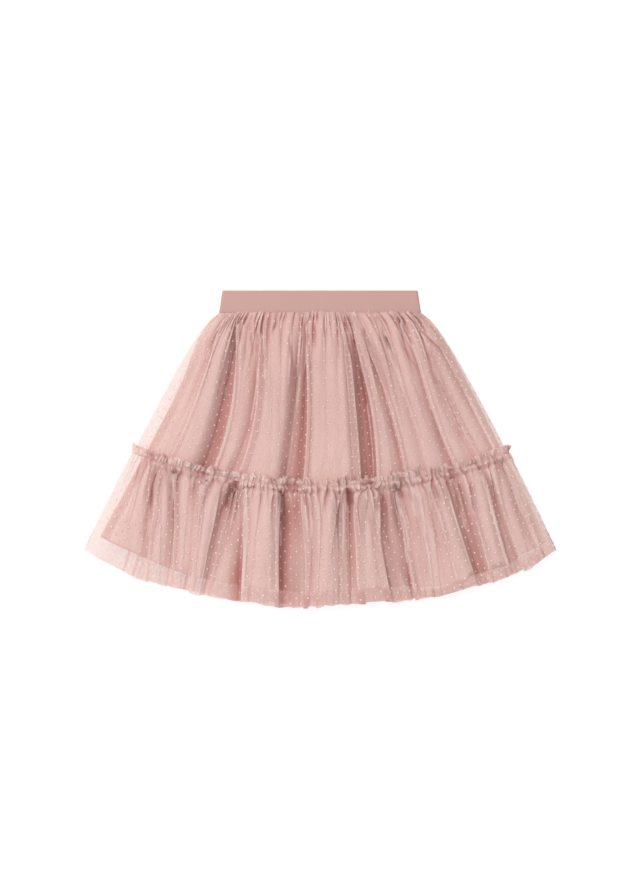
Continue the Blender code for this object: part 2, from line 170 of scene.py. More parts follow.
def eased(q):
    """An S from 0 to 1 that is flat at both ends: q squared times (3 - 2 q), kept between 0 and 1."""
    q = np.clip(q, 0.0, 1.0)
    return q * q * (3.0 - 2.0 * q)


def hills(around, down, cells_around, cells_down, seed):
    """Smooth random heights between -1 and 1 that meet again after one turn. Random numbers sit on a
    lattice of cells, and a point blends its cell's four corners with eased weights."""
    lattice = np.random.default_rng(seed).uniform(-1.0, 1.0, (cells_around, cells_down + 2))
    a = np.asarray(around) * cells_around
    d = np.clip(np.asarray(down), 0.0, 1.0) * cells_down
    a, d = np.broadcast_arrays(a, d)
    ia = np.floor(a).astype(int)
    jd = np.floor(d).astype(int)
    fa = eased(a - ia)
    fd = eased(d - jd)
    here, beside = ia % cells_around, (ia + 1) % cells_around
    near = lattice[here, jd] * (1 - fd) + lattice[here, jd + 1] * fd
    far = lattice[beside, jd] * (1 - fd) + lattice[beside, jd + 1] * fd
    return near * (1 - fa) + far * fa


def swells(around, cells, seed):
    """Smooth random heights that vary only round the skirt."""
    return hills(around, 0.0, cells, 1, seed)


print("half widths", np.round(half_width(np.array([0.0, 1.0, 2.0])), 4))

# %% [markdown]
# ## Folds
#
# Gathered tulle falls in ridges and valleys that start at the seam and run down to the edge. Each row
# below is one of them, placed by its share and its height at a few levels of its tier. Between two of
# them the cloth runs along an S. Tulle is so light that a ridge often leans over its valley. The lap
# makes that: it pushes the cloth sideways by a sine as it goes down the wall, so the wall leans under
# the ridge and one sees three layers there, which makes the edge of a fold in sheer cloth crisp. A
# cloth simulation could drop the folds by itself, but it would not put them where this skirt has them.

# %% The tier's folds
# Each fold: its share at the head, in the middle and at the foot in thousandths, its height in the middle
# and at the foot in tenths of a millimetre, and the lap of the wall to its right in hundredths.
FOLD_UNITS = (1000, 1000, 1000, 10, 10, 100)
TIER_FOLDS = np.array([
    (-926, -890, -890, 95, 90, 8), (-877, -832, -862, 86, 102, 30), (-828, -752, -755, 135, 125, 4),
    (-785, -642, -644, 44, 40, 0), (-750, -596, -604, 46, 44, 36), (-719, -556, -556, 106, 106, 5),
    (-670, -530, -536, 106, 106, 6), (-581, -442, -492, 76, 80, 40), (-532, -372, -385, 140, 130, 0),
    (-315, -262, -262, 150, 130, 6), (-185, -176, -198, 76, 68, 30), (-160, -146, -166, 76, 62, 8),
    (-135, -100, -112, 56, 48, 42), (-79, -42, -56, 145, 135, 0), (158, 152, 140, 150, 135, 40),
    (246, 265, 257, 66, 56, 0), (268, 305, 284, 30, 26, 30), (290, 360, 332, 130, 120, 10),
    (325, 428, 448, 90, 74, 42), (390, 470, 490, 130, 120, 8), (500, 550, 570, 108, 102, 36),
    (540, 590, 615, 130, 120, 8), (745, 698, 714, 86, 74, 42), (790, 730, 748, 120, 115, 8),
    (862, 800, 842, 102, 88, 42), (892, 870, 892, 120, 115, 10), (922, 928, 938, 92, 90, 36),
    (952, 956, 965, 102, 98, 10),
]) / FOLD_UNITS
print(len(TIER_FOLDS), "ridges and valleys on the tier's front")

# %% The ruffle's folds
RUFFLE_FOLDS = np.array([
    (-930, -892, -881, 90, 90, 6), (-860, -800, -756, 82, 78, 36), (-826, -758, -712, 130, 120, 6),
    (-786, -690, -650, 84, 80, 40), (-738, -657, -610, 130, 120, 5), (-652, -596, -568, 114, 115, 34),
    (-572, -540, -530, 140, 150, 22), (-476, -490, -494, 70, 116, 34), (-428, -435, -449, 76, 120, 8),
    (-392, -370, -344, 122, 84, 30), (-360, -335, -315, 160, 180, 0), (-258, -230, -208, 170, 190, 40),
    (-215, -184, -162, 36, 120, 10), (-120, -92, -88, 78, 114, 36), (-64, -36, -34, 126, 140, 5),
    (37, 33, 30, 160, 170, 6), (100, 87, 79, 120, 140, 24), (125, 112, 106, 125, 140, 10),
    (155, 141, 133, 84, 130, 38), (245, 218, 228, 150, 160, 34), (350, 322, 352, 82, 100, 5),
    (385, 386, 396, 34, 62, 34), (415, 420, 425, 64, 92, 8), (450, 468, 462, 76, 120, 26),
    (502, 508, 505, 130, 136, 10), (552, 546, 545, 106, 134, 28), (610, 624, 642, 148, 164, 22),
    (676, 670, 682, 88, 96, 5), (716, 706, 706, 90, 104, 30), (800, 772, 762, 140, 150, 26),
    (880, 848, 850, 96, 92, 38), (910, 882, 888, 120, 115, 8), (945, 930, 930, 88, 86, 36),
    (968, 962, 966, 84, 85, 10),
]) / FOLD_UNITS
print(len(RUFFLE_FOLDS), "ridges and valleys on the ruffle's front")

# %% [markdown]
# The same rule serves both tiers. A tier's `way` is 0 at its head and 1 at its foot. A fold's share
# follows a parabola through its three places. Its height grows from nothing to the middle and is
# straight from there. The columns of the grid are spread evenly over the cloth itself, measured along
# the folded line near the foot, so the cloth's own coordinate is just the column's number.

# %% Folds as arrays
VALLEY_FLOOR = 5.0 * MM
FOLD_RISE = 1.4  # how much higher than in the table the ridges stand over the valleys' floor
FULLNESS = 0.4  # below 1 the ridges are broad and round, and the valleys between them narrow
HALF_TULLE = 0.65 * MM
HEAD_WEIGHT = 0.5  # how much of a column's width is settled by the way across the head
FRONT_SIDE_Z = 3.4 * MM  # height of the front and the back layer at the side folds
BACK_SIDE_Z = 0.5 * MM
SIDE_ROUND = (FRONT_SIDE_Z - BACK_SIDE_Z) / 2.0


def fold_places(folds, way):
    """Every fold's share at each way, by the parabola through its head, middle and foot. The side folds
    are added at both ends, and no fold passes the one before it."""
    ends = np.ones((len(way), 1))
    places = np.concatenate([-ends, parabola(way) @ folds[:, :3].T, ends], axis=1)
    return np.maximum.accumulate(places + 1e-4 * np.arange(places.shape[1]), axis=1)


def fold_lifts(folds, way, grown):
    """Every fold's height at each way: it grows from nothing at the head to its whole height where the
    way is about grown, by a parabola that is shorter for some folds than for others, and goes straight
    from the middle's to the foot's after that."""
    way = way[:, None]
    uneven = 0.7 + 0.7 * (np.arange(len(folds)) * 0.618 % 1.0)
    growth = 1 - (1 - np.minimum(way / (grown * uneven), 1.0)) ** 2
    later = np.clip((way - grown) / (1 - grown), 0.0, 1.0)
    lifts = growth * (folds[:, 3] + (folds[:, 4] - folds[:, 3]) * later) * MM + HALF_TULLE
    lifts += (FOLD_RISE - 1) * np.maximum(lifts - VALLEY_FLOOR, 0.0)
    ends = np.full((len(way), 1), FRONT_SIDE_Z)
    return np.concatenate([ends, lifts, ends], axis=1)


def folded_line(folds, way, grown, wall, q):
    """Share and height across the front at each way. wall is the number of the wall that a column is on
    and q its part of that wall, from 0 to 1. Along a wall the share goes evenly plus the lap times the
    sine of a whole turn. The height follows an S that is steep near the valley and round on the ridge."""
    places = fold_places(folds, way)
    lifts = fold_lifts(folds, way, grown)
    lap_growth = eased(way / (0.8 * grown))
    laps = np.concatenate([[0.0], folds[:, 5]])[wall]
    here = places[:, wall]
    width = places[:, wall + 1] - here
    share = here + width * (q + lap_growth[:, None] * laps * np.sin(2 * np.pi * q))
    here_lift, next_lift = lifts[:, wall], lifts[:, wall + 1]
    low, high = np.minimum(here_lift, next_lift), np.maximum(here_lift, next_lift)
    from_valley = np.where(here_lift < next_lift, q, 1.0 - q)
    return share, low + (high - low) * eased(from_valley ** FULLNESS)


def spread_columns(folds, grown, reference_way, reference_level, columns):
    """Columns spread along the folded line at one level: the wall and the part of the wall for each, and
    the line's length. Half as much again is given to the way across the head, so that the small gathers
    there have enough columns on the broad ridges too."""
    walls = len(folds) + 1
    fine = np.linspace(0.0, 1.0, 41)[:-1]
    wall = np.repeat(np.arange(walls), len(fine))
    q = np.tile(fine, walls)
    share, height = folded_line(folds, np.array([reference_way]), grown, wall, q)
    x = share[0] * half_width(np.array([reference_level]))
    step = np.hypot(np.diff(x), np.diff(height[0]))
    head_share = folded_line(folds, np.array([0.0]), grown, wall, q)[0]
    head_step = np.abs(np.diff(head_share[0])) * half_width(np.array([reference_level]))
    run = running(step + HEAD_WEIGHT * head_step)
    at = np.interp(np.linspace(0.0, run[-1], columns), run, wall + q)
    wall = np.minimum(at.astype(int), walls - 1)
    return wall, at - wall, step.sum()


q = np.linspace(0.0, 0.5, 51)
print("a lap of 0.4 takes a wall to", (q + 0.4 * np.sin(2 * np.pi * q)).max().round(2), "and then back")

# %% [markdown]
# ## Cloth that lies on cloth
#
# The lining lies under the tulle, and the ruffle's heading lies on the tier. Both follow the folds of
# the other layer without crossing it, so they need that layer's lowest or highest line. The highest
# line is found by sorting the folded points into narrow bins across the skirt. It is then widened by
# a few bins and smoothed over the same width, which keeps it on its side everywhere.

# %% Envelopes
BINS = 560
BIN_SHARES = np.linspace(-1.0, 1.0, BINS)


def envelope(share, height, upper):
    """The highest (or lowest) height in each bin across the skirt, row by row. Bins with no point take
    the value between their neighbours."""
    rows = np.broadcast_to(np.arange(share.shape[0])[:, None], share.shape)
    column = np.clip(np.round((share + 1) / 2 * (BINS - 1)).astype(int), 0, BINS - 1)
    line = np.full((share.shape[0], BINS), -1.0 if upper else 1.0)
    (np.maximum if upper else np.minimum).at(line, (rows, column), height)
    empty = np.abs(line) == 1.0
    for row in np.nonzero(empty.any(axis=1))[0]:
        full = ~empty[row]
        line[row] = np.interp(BIN_SHARES, BIN_SHARES[full], line[row, full])
    return line


def spread(line, reach, upper, axis=1):
    """Widens the line by reach bins and smooths it over as many, so that it never crosses the old one."""
    pick = np.maximum if upper else np.minimum
    padding = [(0, 0), (0, 0)]
    padding[axis] = (reach, reach)
    size = line.shape[axis]
    padded = np.pad(line, padding, mode="edge")
    wide = line
    for shift in range(2 * reach + 1):
        wide = pick(wide, np.take(padded, range(shift, shift + size), axis=axis))
    padded = np.pad(wide, padding, mode="edge")
    return sum(np.take(padded, range(shift, shift + size), axis=axis)
               for shift in range(2 * reach + 1)) / (2 * reach + 1)


def read_line(line, share):
    """The line's height at any share, straight between bins."""
    at = np.clip((share + 1) / 2 * (BINS - 1), 0, BINS - 1.001)
    left = at.astype(int)
    rows = np.broadcast_to(np.arange(line.shape[0])[:, None], share.shape)
    return line[rows, left] * (1 - at + left) + line[rows, left + 1] * (at - left)


print(BINS, "bins of", (2 * HALF_WIDTHS[-1] / MM / BINS).round(2), "mm at the hem")

# %% [markdown]
# ## From a line to a tube of cloth
#
# Every piece goes once round the skirt: across the front, round the right side fold, back across the
# underside and round the left side fold. A sheet keeps its grid of points together with the cloth's own
# coordinates, in metres, which the net's pattern and the dots follow.

# %% Tubes
TURN_COLUMNS = 7


class Sheet:
    """A tube of cloth: points[row, column], the cloth's coordinate round it for each column and its
    whole turn, and the coordinate down it for each row."""

    def __init__(self, x, y, z, around, down):
        self.points = np.stack([x, y, z], axis=-1)
        self.around, self.whole, self.down = around, 1.0, down

    def girth(self):
        """The cloth's length round each row."""
        return np.linalg.norm(np.roll(self.points, -1, axis=1) - self.points, axis=2).sum(axis=1)

    def measure_round(self, row):
        """Gives the sheet its coordinate round, from the length of one row."""
        step = np.linalg.norm(np.roll(self.points[row], -1, axis=0) - self.points[row], axis=1)
        self.whole = float(step.sum())
        self.around = running(step[:-1])
        return self.whole


def side_turn(x, front_z, back_z, side):
    """The round of a side fold, half a circle in X and Z. On the right, side 1, it goes down from the
    front's last point to the back's first. On the left, side -1, it goes up from back to front."""
    angle = side * np.linspace(np.pi / 2, -np.pi / 2, TURN_COLUMNS + 2)[1:-1]
    radius = (front_z - back_z)[:, None] / 2
    return (x[:, None] + side * radius * np.cos(angle),
            (front_z + back_z)[:, None] / 2 + radius * np.sin(angle))


def tube_of(front_x, front_z, back_x, back_z):
    """Joins front, right fold, back and left fold into one turn of columns."""
    right_x, right_z = side_turn(front_x[:, -1], front_z[:, -1], back_z[:, 0], 1)
    left_x, left_z = side_turn(front_x[:, 0], front_z[:, 0], back_z[:, -1], -1)
    return (np.concatenate([front_x, right_x, back_x, left_x], axis=1),
            np.concatenate([front_z, right_z, back_z, left_z], axis=1))


def mesh_object(name, points, faces, material, uv=None):
    """One smooth-shaded mesh object at the origin, with its cloth coordinates as a UV map."""
    mesh = bpy.data.meshes.new(name)
    mesh.from_pydata(points.reshape(-1, 3).tolist(), [], faces.tolist())
    mesh.shade_smooth()
    mesh.materials.append(material)
    if uv is not None:
        mesh.uv_layers.new(name="cloth").data.foreach_set("uv", uv.reshape(-1))
    piece = bpy.data.objects.new(name, mesh)
    scene.collection.objects.link(piece)
    return piece


def grid_cells(rows, columns, upwards=False):
    """The row and the column of the four corners of every cell in a grid. Where the rows go up the
    piece and not down it, the corners run the other way round, so that faces still point outwards."""
    r, c = np.meshgrid(np.arange(rows), np.arange(columns), indexing="ij")
    order = [0, 3, 2, 1] if upwards else [0, 1, 2, 3]
    return (np.stack([r, r + 1, r + 1, r], axis=-1).reshape(-1, 4)[:, order],
            np.stack([c, c, c + 1, c + 1], axis=-1).reshape(-1, 4)[:, order])


def tube_object(name, sheet, material):
    """The sheet's mesh: a face for every cell of the grid, with the last column joined to the first."""
    rows, columns = sheet.points.shape[:2]
    r, c = grid_cells(rows - 1, columns)
    uv = np.stack([np.append(sheet.around, sheet.whole)[c], -sheet.down[r]], axis=-1)
    print(name, rows, "x", columns, "points,", 2 * len(r), "triangles")
    return mesh_object(name, sheet.points, r * columns + c % columns, material, uv)


# %% [markdown]
# ## Finishes
#
# Tulle is a net of six-sided holes about a millimetre across. At arm's length one sees through it, and
# the threads only lighten what is below. An even veil of see-through colour would be simpler, but it
# has no grain close up. The net here is a real pattern on the cloth's coordinates: the distance to the
# edge of the nearest six-sided cell, found by comparing the two nearest cell centres, with the cells
# pulled a little out of true as in cloth that has been handled. The threads are opaque and the holes
# are clear, so two layers of tulle hide twice as much.
#
# Three numbers at each point steer the net. Closeness is how thick its threads are drawn together.
# Depth is how far it lies down in a fold, and it paints shade there: a darker, redder colour that stands
# for a fold's shadow and the light bounced between its layers. The painted highlight is how much a cut
# edge or a fold's edge is painted paler, as if it caught the light.

# %% Node helpers
def put(tree, value, socket):
    """Sets a socket to a number, vector or colour, or links another socket to it."""
    if isinstance(value, bpy.types.NodeSocket):
        tree.links.new(value, socket)
    elif value is not None:
        socket.default_value = value


def node(tree, kind, *values, out=0, **settings):
    """Adds a node, makes its settings, fills its inputs in order and gives one of its outputs."""
    new = tree.nodes.new("ShaderNode" + kind)
    for name, setting in settings.items():
        setattr(new, name, setting)
    for value, socket in zip(values, new.inputs):
        put(tree, value, socket)
    return new.outputs[out]


def maths(tree, operation, *values):
    return node(tree, "Math", *values, operation=operation)


def vector_maths(tree, operation, *values):
    out = "Value" if operation in ("LENGTH", "DOT_PRODUCT") else "Vector"
    return node(tree, "VectorMath", *values, out=out, operation=operation)


def cloth_coordinates(tree):
    return node(tree, "UVMap", uv_map="cloth")


def attribute(tree, name):
    return node(tree, "Attribute", out="Fac", attribute_name=name)


def between(tree, value, low, high, to_low, to_high, curve="LINEAR"):
    """Maps a value from one range to another."""
    return node(tree, "MapRange", value, low, high, to_low, to_high, interpolation_type=curve)


def noise(tree, vector, scale, detail=2.0):
    return node(tree, "TexNoise", vector, None, scale, detail, out="Fac")


def mixed_colour(tree, factor, first, second):
    """Blends two colours. The node's inputs for numbers and vectors come before those for colours."""
    pair = [(*colour, 1.0) if isinstance(colour, tuple) else colour for colour in (first, second)]
    return node(tree, "Mix", factor, *[None] * 5, *pair, out=2, data_type="RGBA")


def bump(tree, shader, height, distance, strength):
    relief = node(tree, "Bump", strength, distance).node
    put(tree, height, relief.inputs["Height"])
    put(tree, relief.outputs["Normal"], shader.inputs["Normal"])


def new_material(name, roughness, sheen, sheen_roughness):
    """A material with a Principled shader whose constant values sit on its own sockets."""
    material = bpy.data.materials.new(name)
    material.use_nodes = True
    shader = material.node_tree.nodes["Principled BSDF"]
    shader.inputs["Roughness"].default_value = roughness
    shader.inputs["Specular IOR Level"].default_value = 0.25
    shader.inputs["Sheen Weight"].default_value = sheen
    shader.inputs["Sheen Roughness"].default_value = sheen_roughness
    return material, material.node_tree, shader


def hexagon_net(tree, coordinates, cell):
    """How near a point is to the side of its six-sided cell: 0 in the cell's middle and 0.5 on its
    sides. The cell centres form two shifted rectangular lattices; the nearer centre is the cell's."""
    scaled = vector_maths(tree, "MULTIPLY", coordinates, (1 / cell, 1 / (cell * 3 ** 0.5), 0.0))
    offsets = []
    for shift in (0.0, 0.5):
        part = vector_maths(tree, "FRACTION", vector_maths(tree, "ADD", scaled, (shift, shift, 0.0)))
        centred = vector_maths(tree, "SUBTRACT", part, (0.5, 0.5, 0.0))
        offsets.append(vector_maths(tree, "MULTIPLY", centred, (1.0, 3 ** 0.5, 0.0)))
    first_away, second_away = [vector_maths(tree, "LENGTH", offset) for offset in offsets]
    second_nearer = maths(tree, "LESS_THAN", second_away, first_away)
    nearest = node(tree, "Mix", second_nearer, *[None] * 3, *offsets, out=1, data_type="VECTOR")
    folded = vector_maths(tree, "ABSOLUTE", nearest)
    slanted = vector_maths(tree, "DOT_PRODUCT", folded, (0.5, 0.75 ** 0.5, 0.0))
    return maths(tree, "MAXIMUM", node(tree, "SeparateXYZ", folded), slanted)


# %% Tulle
NET_CELL = 1.1 * MM
NET_PULL = (1.6 * MM, 2.2 * MM, 0.0)  # the most that a cell is pulled out of its place
THREAD_WIDTHS = (0.036, 0.059)  # half a thread over the cell, at closeness 1, where sparse and dense
THREAD_SOFT = 0.025
THREAD_COVER = 0.95
THREAD_GLOW = 0.2  # the part of the light that goes through the fine threads rather than back
TULLE_PAINTED_HIGHLIGHT = (1.0, 0.82, 0.765)  # painted highlight, at the frill and at fold edges, as if cut edges caught the light
TULLE_LIGHT = (0.92, 0.705, 0.65)  # on a ridge, where one layer catches the light
TULLE_PAINTED_SHADE = (0.62, 0.295, 0.26)  # painted shade: the darker, redder colour of a fold's shadow and of light bounced between its layers

tulle, tree, shader = new_material("dotted_tulle", 0.7, 0.35, 0.4)
coordinates = cloth_coordinates(tree)
pull = vector_maths(tree, "MULTIPLY", noise(tree, coordinates, 260.0, 1.0), NET_PULL)
net = hexagon_net(tree, vector_maths(tree, "ADD", coordinates, pull), NET_CELL)
streaks = noise(tree, vector_maths(tree, "MULTIPLY", coordinates, (420.0, 9.0, 0.0)), 1.0, 3.0)
mottle = maths(tree, "ADD", maths(tree, "MULTIPLY", streaks, 0.5),
               maths(tree, "MULTIPLY", noise(tree, coordinates, 210.0, 4.0), 0.5))
thread_width = maths(tree, "MULTIPLY", attribute(tree, "closeness"),
                     between(tree, mottle, 0.3, 0.7, *THREAD_WIDTHS))
side = maths(tree, "SUBTRACT", 0.5, thread_width)
threads = between(tree, net, maths(tree, "SUBTRACT", side, THREAD_SOFT),
                  maths(tree, "ADD", side, THREAD_SOFT), 0.0, THREAD_COVER, "SMOOTHSTEP")
# Painted shade: the depth attribute, with a cloudy noise, darkens and reddens the threads down in the folds;
# the pale colour is a painted highlight at cut and fold edges.
cloudy = maths(tree, "MULTIPLY", noise(tree, coordinates, 28.0), 0.25)
painted_shade_amount = maths(tree, "ADD", maths(tree, "MULTIPLY", attribute(tree, "depth"), 0.85), cloudy)
colour_with_highlight = mixed_colour(tree, attribute(tree, "painted_highlight"), TULLE_LIGHT, TULLE_PAINTED_HIGHLIGHT)
thread_colour = mixed_colour(tree, painted_shade_amount, colour_with_highlight, TULLE_PAINTED_SHADE)
put(tree, thread_colour, shader.inputs["Base Color"])
bump(tree, shader, threads, 0.1 * MM, 0.4)
thread_shader = node(tree, "MixShader", THREAD_GLOW, shader.outputs[0],
                     node(tree, "BsdfTranslucent", thread_colour))
net_shader = node(tree, "MixShader", threads, node(tree, "BsdfTransparent"), thread_shader)
put(tree, net_shader, tree.nodes["Material Output"].inputs["Surface"])
print("tulle: net cells of", NET_CELL / MM, "mm")

# %% [markdown]
# The other finishes are plain. Dots, thread and floor have a colour that wanders between two near
# tones, since no real surface is one flat colour. The dots also glow faintly: painted light that makes
# them brighter than the net around them. The lining has a fine square weave and the elastic's cover
# a knitted rib, each a pair of sines on the cloth's coordinates, used as a bump.

# %% Dots, lining, elastic, thread and floor
def wandering(name, roughness, sheen, sheen_roughness, scale, first, second, glow=(1.0,) * 3,
              strength=0.0):
    """A finish whose colour wanders between two tones with a noise on Object coordinates."""
    material, tree, shader = new_material(name, roughness, sheen, sheen_roughness)
    tone = noise(tree, node(tree, "TexCoord", out="Object"), scale)
    put(tree, mixed_colour(tree, tone, first, second), shader.inputs["Base Color"])
    shader.inputs["Emission Color"].default_value = (*glow, 1.0)
    shader.inputs["Emission Strength"].default_value = strength
    return material


def sines(tree, pitch_round, pitch_down):
    """A sine that repeats round the cloth and one that repeats down it."""
    turns = (2 * np.pi / pitch_round, 2 * np.pi / pitch_down, 0.0)
    scaled = vector_maths(tree, "MULTIPLY", cloth_coordinates(tree), turns)
    return [maths(tree, "SINE", part) for part in node(tree, "SeparateXYZ", scaled).node.outputs[:2]]


# The dots' warm glow of strength 0.06 is painted light that lifts them over the net around them.
dot_finish = wandering("dots", 0.55, 0.2, 0.3, 900.0, (1.0, 0.82, 0.76), (1.0, 0.79, 0.73),
                       (1.0, 0.74, 0.67), 0.06)
thread_finish = wandering("thread", 0.6, 0.2, 0.4, 1500.0, (0.62, 0.38, 0.34), (0.52, 0.30, 0.27))
floor_finish = wandering("pale_floor", 0.9, 0.0, 0.5, 3.0, (0.28,) * 3, (0.30,) * 3, strength=0.78)
floor.data.materials.append(floor_finish)

lining_finish, tree, shader = new_material("plain_lining", 0.62, 0.15, 0.4)
weave = maths(tree, "MULTIPLY", *sines(tree, 0.55 * MM, 0.55 * MM))
painted_shade_amount = maths(tree, "ADD", maths(tree, "MULTIPLY", attribute(tree, "depth"), 0.85),
                maths(tree, "MULTIPLY", noise(tree, cloth_coordinates(tree), 16.0), 0.2))
# The second colour is painted shade, for the lining down in the folds and along its hem.
lining_colour = mixed_colour(tree, painted_shade_amount, (0.88, 0.69, 0.64), (0.54, 0.275, 0.245))
put(tree, lining_colour, shader.inputs["Base Color"])
bump(tree, shader, weave, 0.06 * MM, 0.5)

elastic_finish, tree, shader = new_material("covered_elastic", 0.75, 0.25, 0.5)
wale, course = sines(tree, 0.9 * MM, 1.1 * MM)
rib = maths(tree, "ADD", wale, maths(tree, "MULTIPLY", course, 0.4))
elastic_colour = mixed_colour(tree, noise(tree, cloth_coordinates(tree), 20.0),
                              (0.580, 0.352, 0.316), (0.555, 0.332, 0.296))
put(tree, elastic_colour, shader.inputs["Base Color"])
bump(tree, shader, rib, 0.08 * MM, 0.5)
print(len(bpy.data.materials), "materials")

# %% [markdown]
# ## The gathered tier
#
# The tier is a strip of tulle drawn up on a thread to the waistband's length. Right under the band the
# cloth stands in many small rounded gathers with narrow creases between them. They have uneven depths
# and lengths, they die out one after the other, and the broad folds take over from them. Each gather
# also leans a little to one side, as soft pleats do when a skirt is laid down.

# %% Gathers
PRESSED = 0.16  # what the back's gathers keep of their depth under the skirt's weight
BACK_LAP = 0.34
SIDE_SHARE = 0.03  # the part of the front over which it comes down to a side fold
REST_SOFTNESS = 0.5 * MM
LEAST_Z = 0.3 * MM
TURN_REACH = 16  # columns from a side fold's middle to where the gathers have their whole depth


def gather_wave(around, count, jitter, seed, slant=0.0):
    """Uneven gathers round the cloth: their count, height and shift. The phase runs evenly plus a
    smooth random part, and a slant that grows down the cloth lets them wander. The height has rounded
    tops between narrow creases, 1 less a power of half (1 + cosine). The shift along the cloth, less
    the cosine, makes one wall steeper than the other."""
    phase = 2 * np.pi * (count * around + jitter * swells(around, int(count * 0.8), seed)
                         + slant * swells(around, count // 3, seed + 50))
    return count, 1.0 - (0.5 + 0.5 * np.cos(phase)) ** 1.8, -np.cos(phase)


def pressed_back(way, base, rise, middles, reach, columns):
    """Share and height across the underside from right to left: flat, with folds pressed into it. Each
    one is a ridge between two valleys whose walls lean out by the back's lap."""
    places = np.sort(np.concatenate([[m - reach, m, m + reach] for m in middles]))[::-1]
    places = np.concatenate([[1.0], places, [-1.0]])
    lifts = np.concatenate([[0.0], np.tile([0.0, 1.0, 0.0], len(middles)), [0.0]])
    laps = np.concatenate([[0.0], np.tile([BACK_LAP, BACK_LAP, 0.0], len(middles))])
    run = running(np.abs(np.diff(places)) * (1 + 3 * laps))
    at = np.interp(np.linspace(0, run[-1], columns), run, np.arange(len(run)))
    wall = np.minimum(at.astype(int), len(places) - 2)
    q = at - wall
    width = places[wall + 1] - places[wall]
    grow = eased(way / 0.35)[:, None]
    share = places[wall] + width * (q + grow * laps[wall] * np.sin(2 * np.pi * q))
    height = base[:, None] + rise * grow * (lifts[wall] + (lifts[wall + 1] - lifts[wall]) * eased(q))
    return share, height


def folded_tube(share, height, carried, levels, back):
    """A tier before it is gathered. The front settles on what carries it, by the soft larger of the two
    heights, and comes down to the side folds. The back lies flat. Gives X, Z, and for each column its
    part of the turn, 1 on the front and 0 elsewhere, what is left of the gathers' depth where the back
    is pressed, and 1 except at the side folds, where gathers are pressed flat."""
    low = FRONT_SIDE_Z + (carried - FRONT_SIDE_Z) * eased((1 - np.abs(share)) / SIDE_SHARE)
    height = low + REST_SOFTNESS * np.logaddexp(0.0, (height - low) / REST_SOFTNESS)
    height = np.where(np.abs(share) > 0.9999, FRONT_SIDE_Z, height)
    inner = half_width(levels)[:, None] - SIDE_ROUND
    x, z = tube_of(share * inner, height, back[0] * inner, back[1])
    columns = x.shape[1]
    number = np.arange(columns)
    on_front = (number < share.shape[1]) * 1.0
    from_right = np.abs(number - (share.shape[1] + TURN_COLUMNS / 2))
    from_left = np.abs((number + TURN_COLUMNS / 2 + columns / 2) % columns - columns / 2)
    calm = eased(from_right / TURN_REACH) * eased(from_left / TURN_REACH)
    return x, z, number / columns, on_front, PRESSED + (1 - PRESSED) * on_front, calm


def add_gathers(x, z, waves, calm):
    """Moves the points out along the line's normal by each wave's depth, and along the cloth by its lean
    times the wave's own length over a whole turn. Lean 1 makes one wall upright, and more tips it over."""
    dx = np.roll(x, -1, axis=1) - np.roll(x, 1, axis=1)
    dz = np.roll(z, -1, axis=1) - np.roll(z, 1, axis=1)
    size = np.hypot(dx, dz) + 1e-12
    nx, nz = -dz / size, dx / size
    run = np.hypot(np.roll(x, -1, axis=1) - x, np.roll(z, -1, axis=1) - z).sum(axis=1)[:, None]
    out = 0.0
    along = 0.0
    for (count, top, shift), depth, lean in waves:
        out = out + depth * top * calm
        along = along + lean * shift * run / count / (2 * np.pi) * calm
    return x + nx * out + nz * along, np.maximum(z + nz * out - nx * along, LEAST_Z)


# %% [markdown]
# A few creases don't follow the folds: short tucks below a seam, and one long line that bends along
# the right side. Each is placed by its own three points in the plan, and is a soft trough that is deepest
# halfway along and runs out at both ends. Each also lays painted shade along its trough.

# %% Creases placed one by one
TIER_CREASES = np.array([
    # X and Y at the start, halfway and at the end, width and depth, all in millimetres
    (-92, 151, -91, 135, -92, 118, 1.7, 2.6),
    (-81, 146, -78, 124, -75, 102, 1.5, 2.0),
    (-63, 142, -69, 124, -75, 106, 1.4, 1.8),
    (-104, 152, -114, 136, -124, 121, 1.3, 1.5),
    (-46, 150, -51, 140, -57, 128, 1.4, 1.8),
    (-35, 131, -32, 110, -30, 90, 1.8, 2.2),
    (-21, 146, -16, 133, -12, 122, 1.3, 1.8),
    (-7, 146, -6, 128, -6, 112, 1.6, 2.0),
    (25, 147, 35, 130, 40, 105, 1.6, 2.4),
    (50, 138, 54, 127, 58, 117, 1.4, 2.0),
    (71, 137, 76, 124, 81, 112, 2.0, 3.2),
    (87, 137, 103, 105, 118, 87, 1.5, 1.8),
    (99, 146, 132, 119, 156, 94, 1.3, 3.4),
    (123, 93, 148, 54, 165, 4, 1.4, 3.0),
    (-64, 100, -76, 60, -92, 8, 5.0, 0.7),
    (-50, 84, -46, 48, -43, 10, 3.0, 0.6),
    (0, 96, 1, 60, 0, 14, 4.0, 0.4),
])
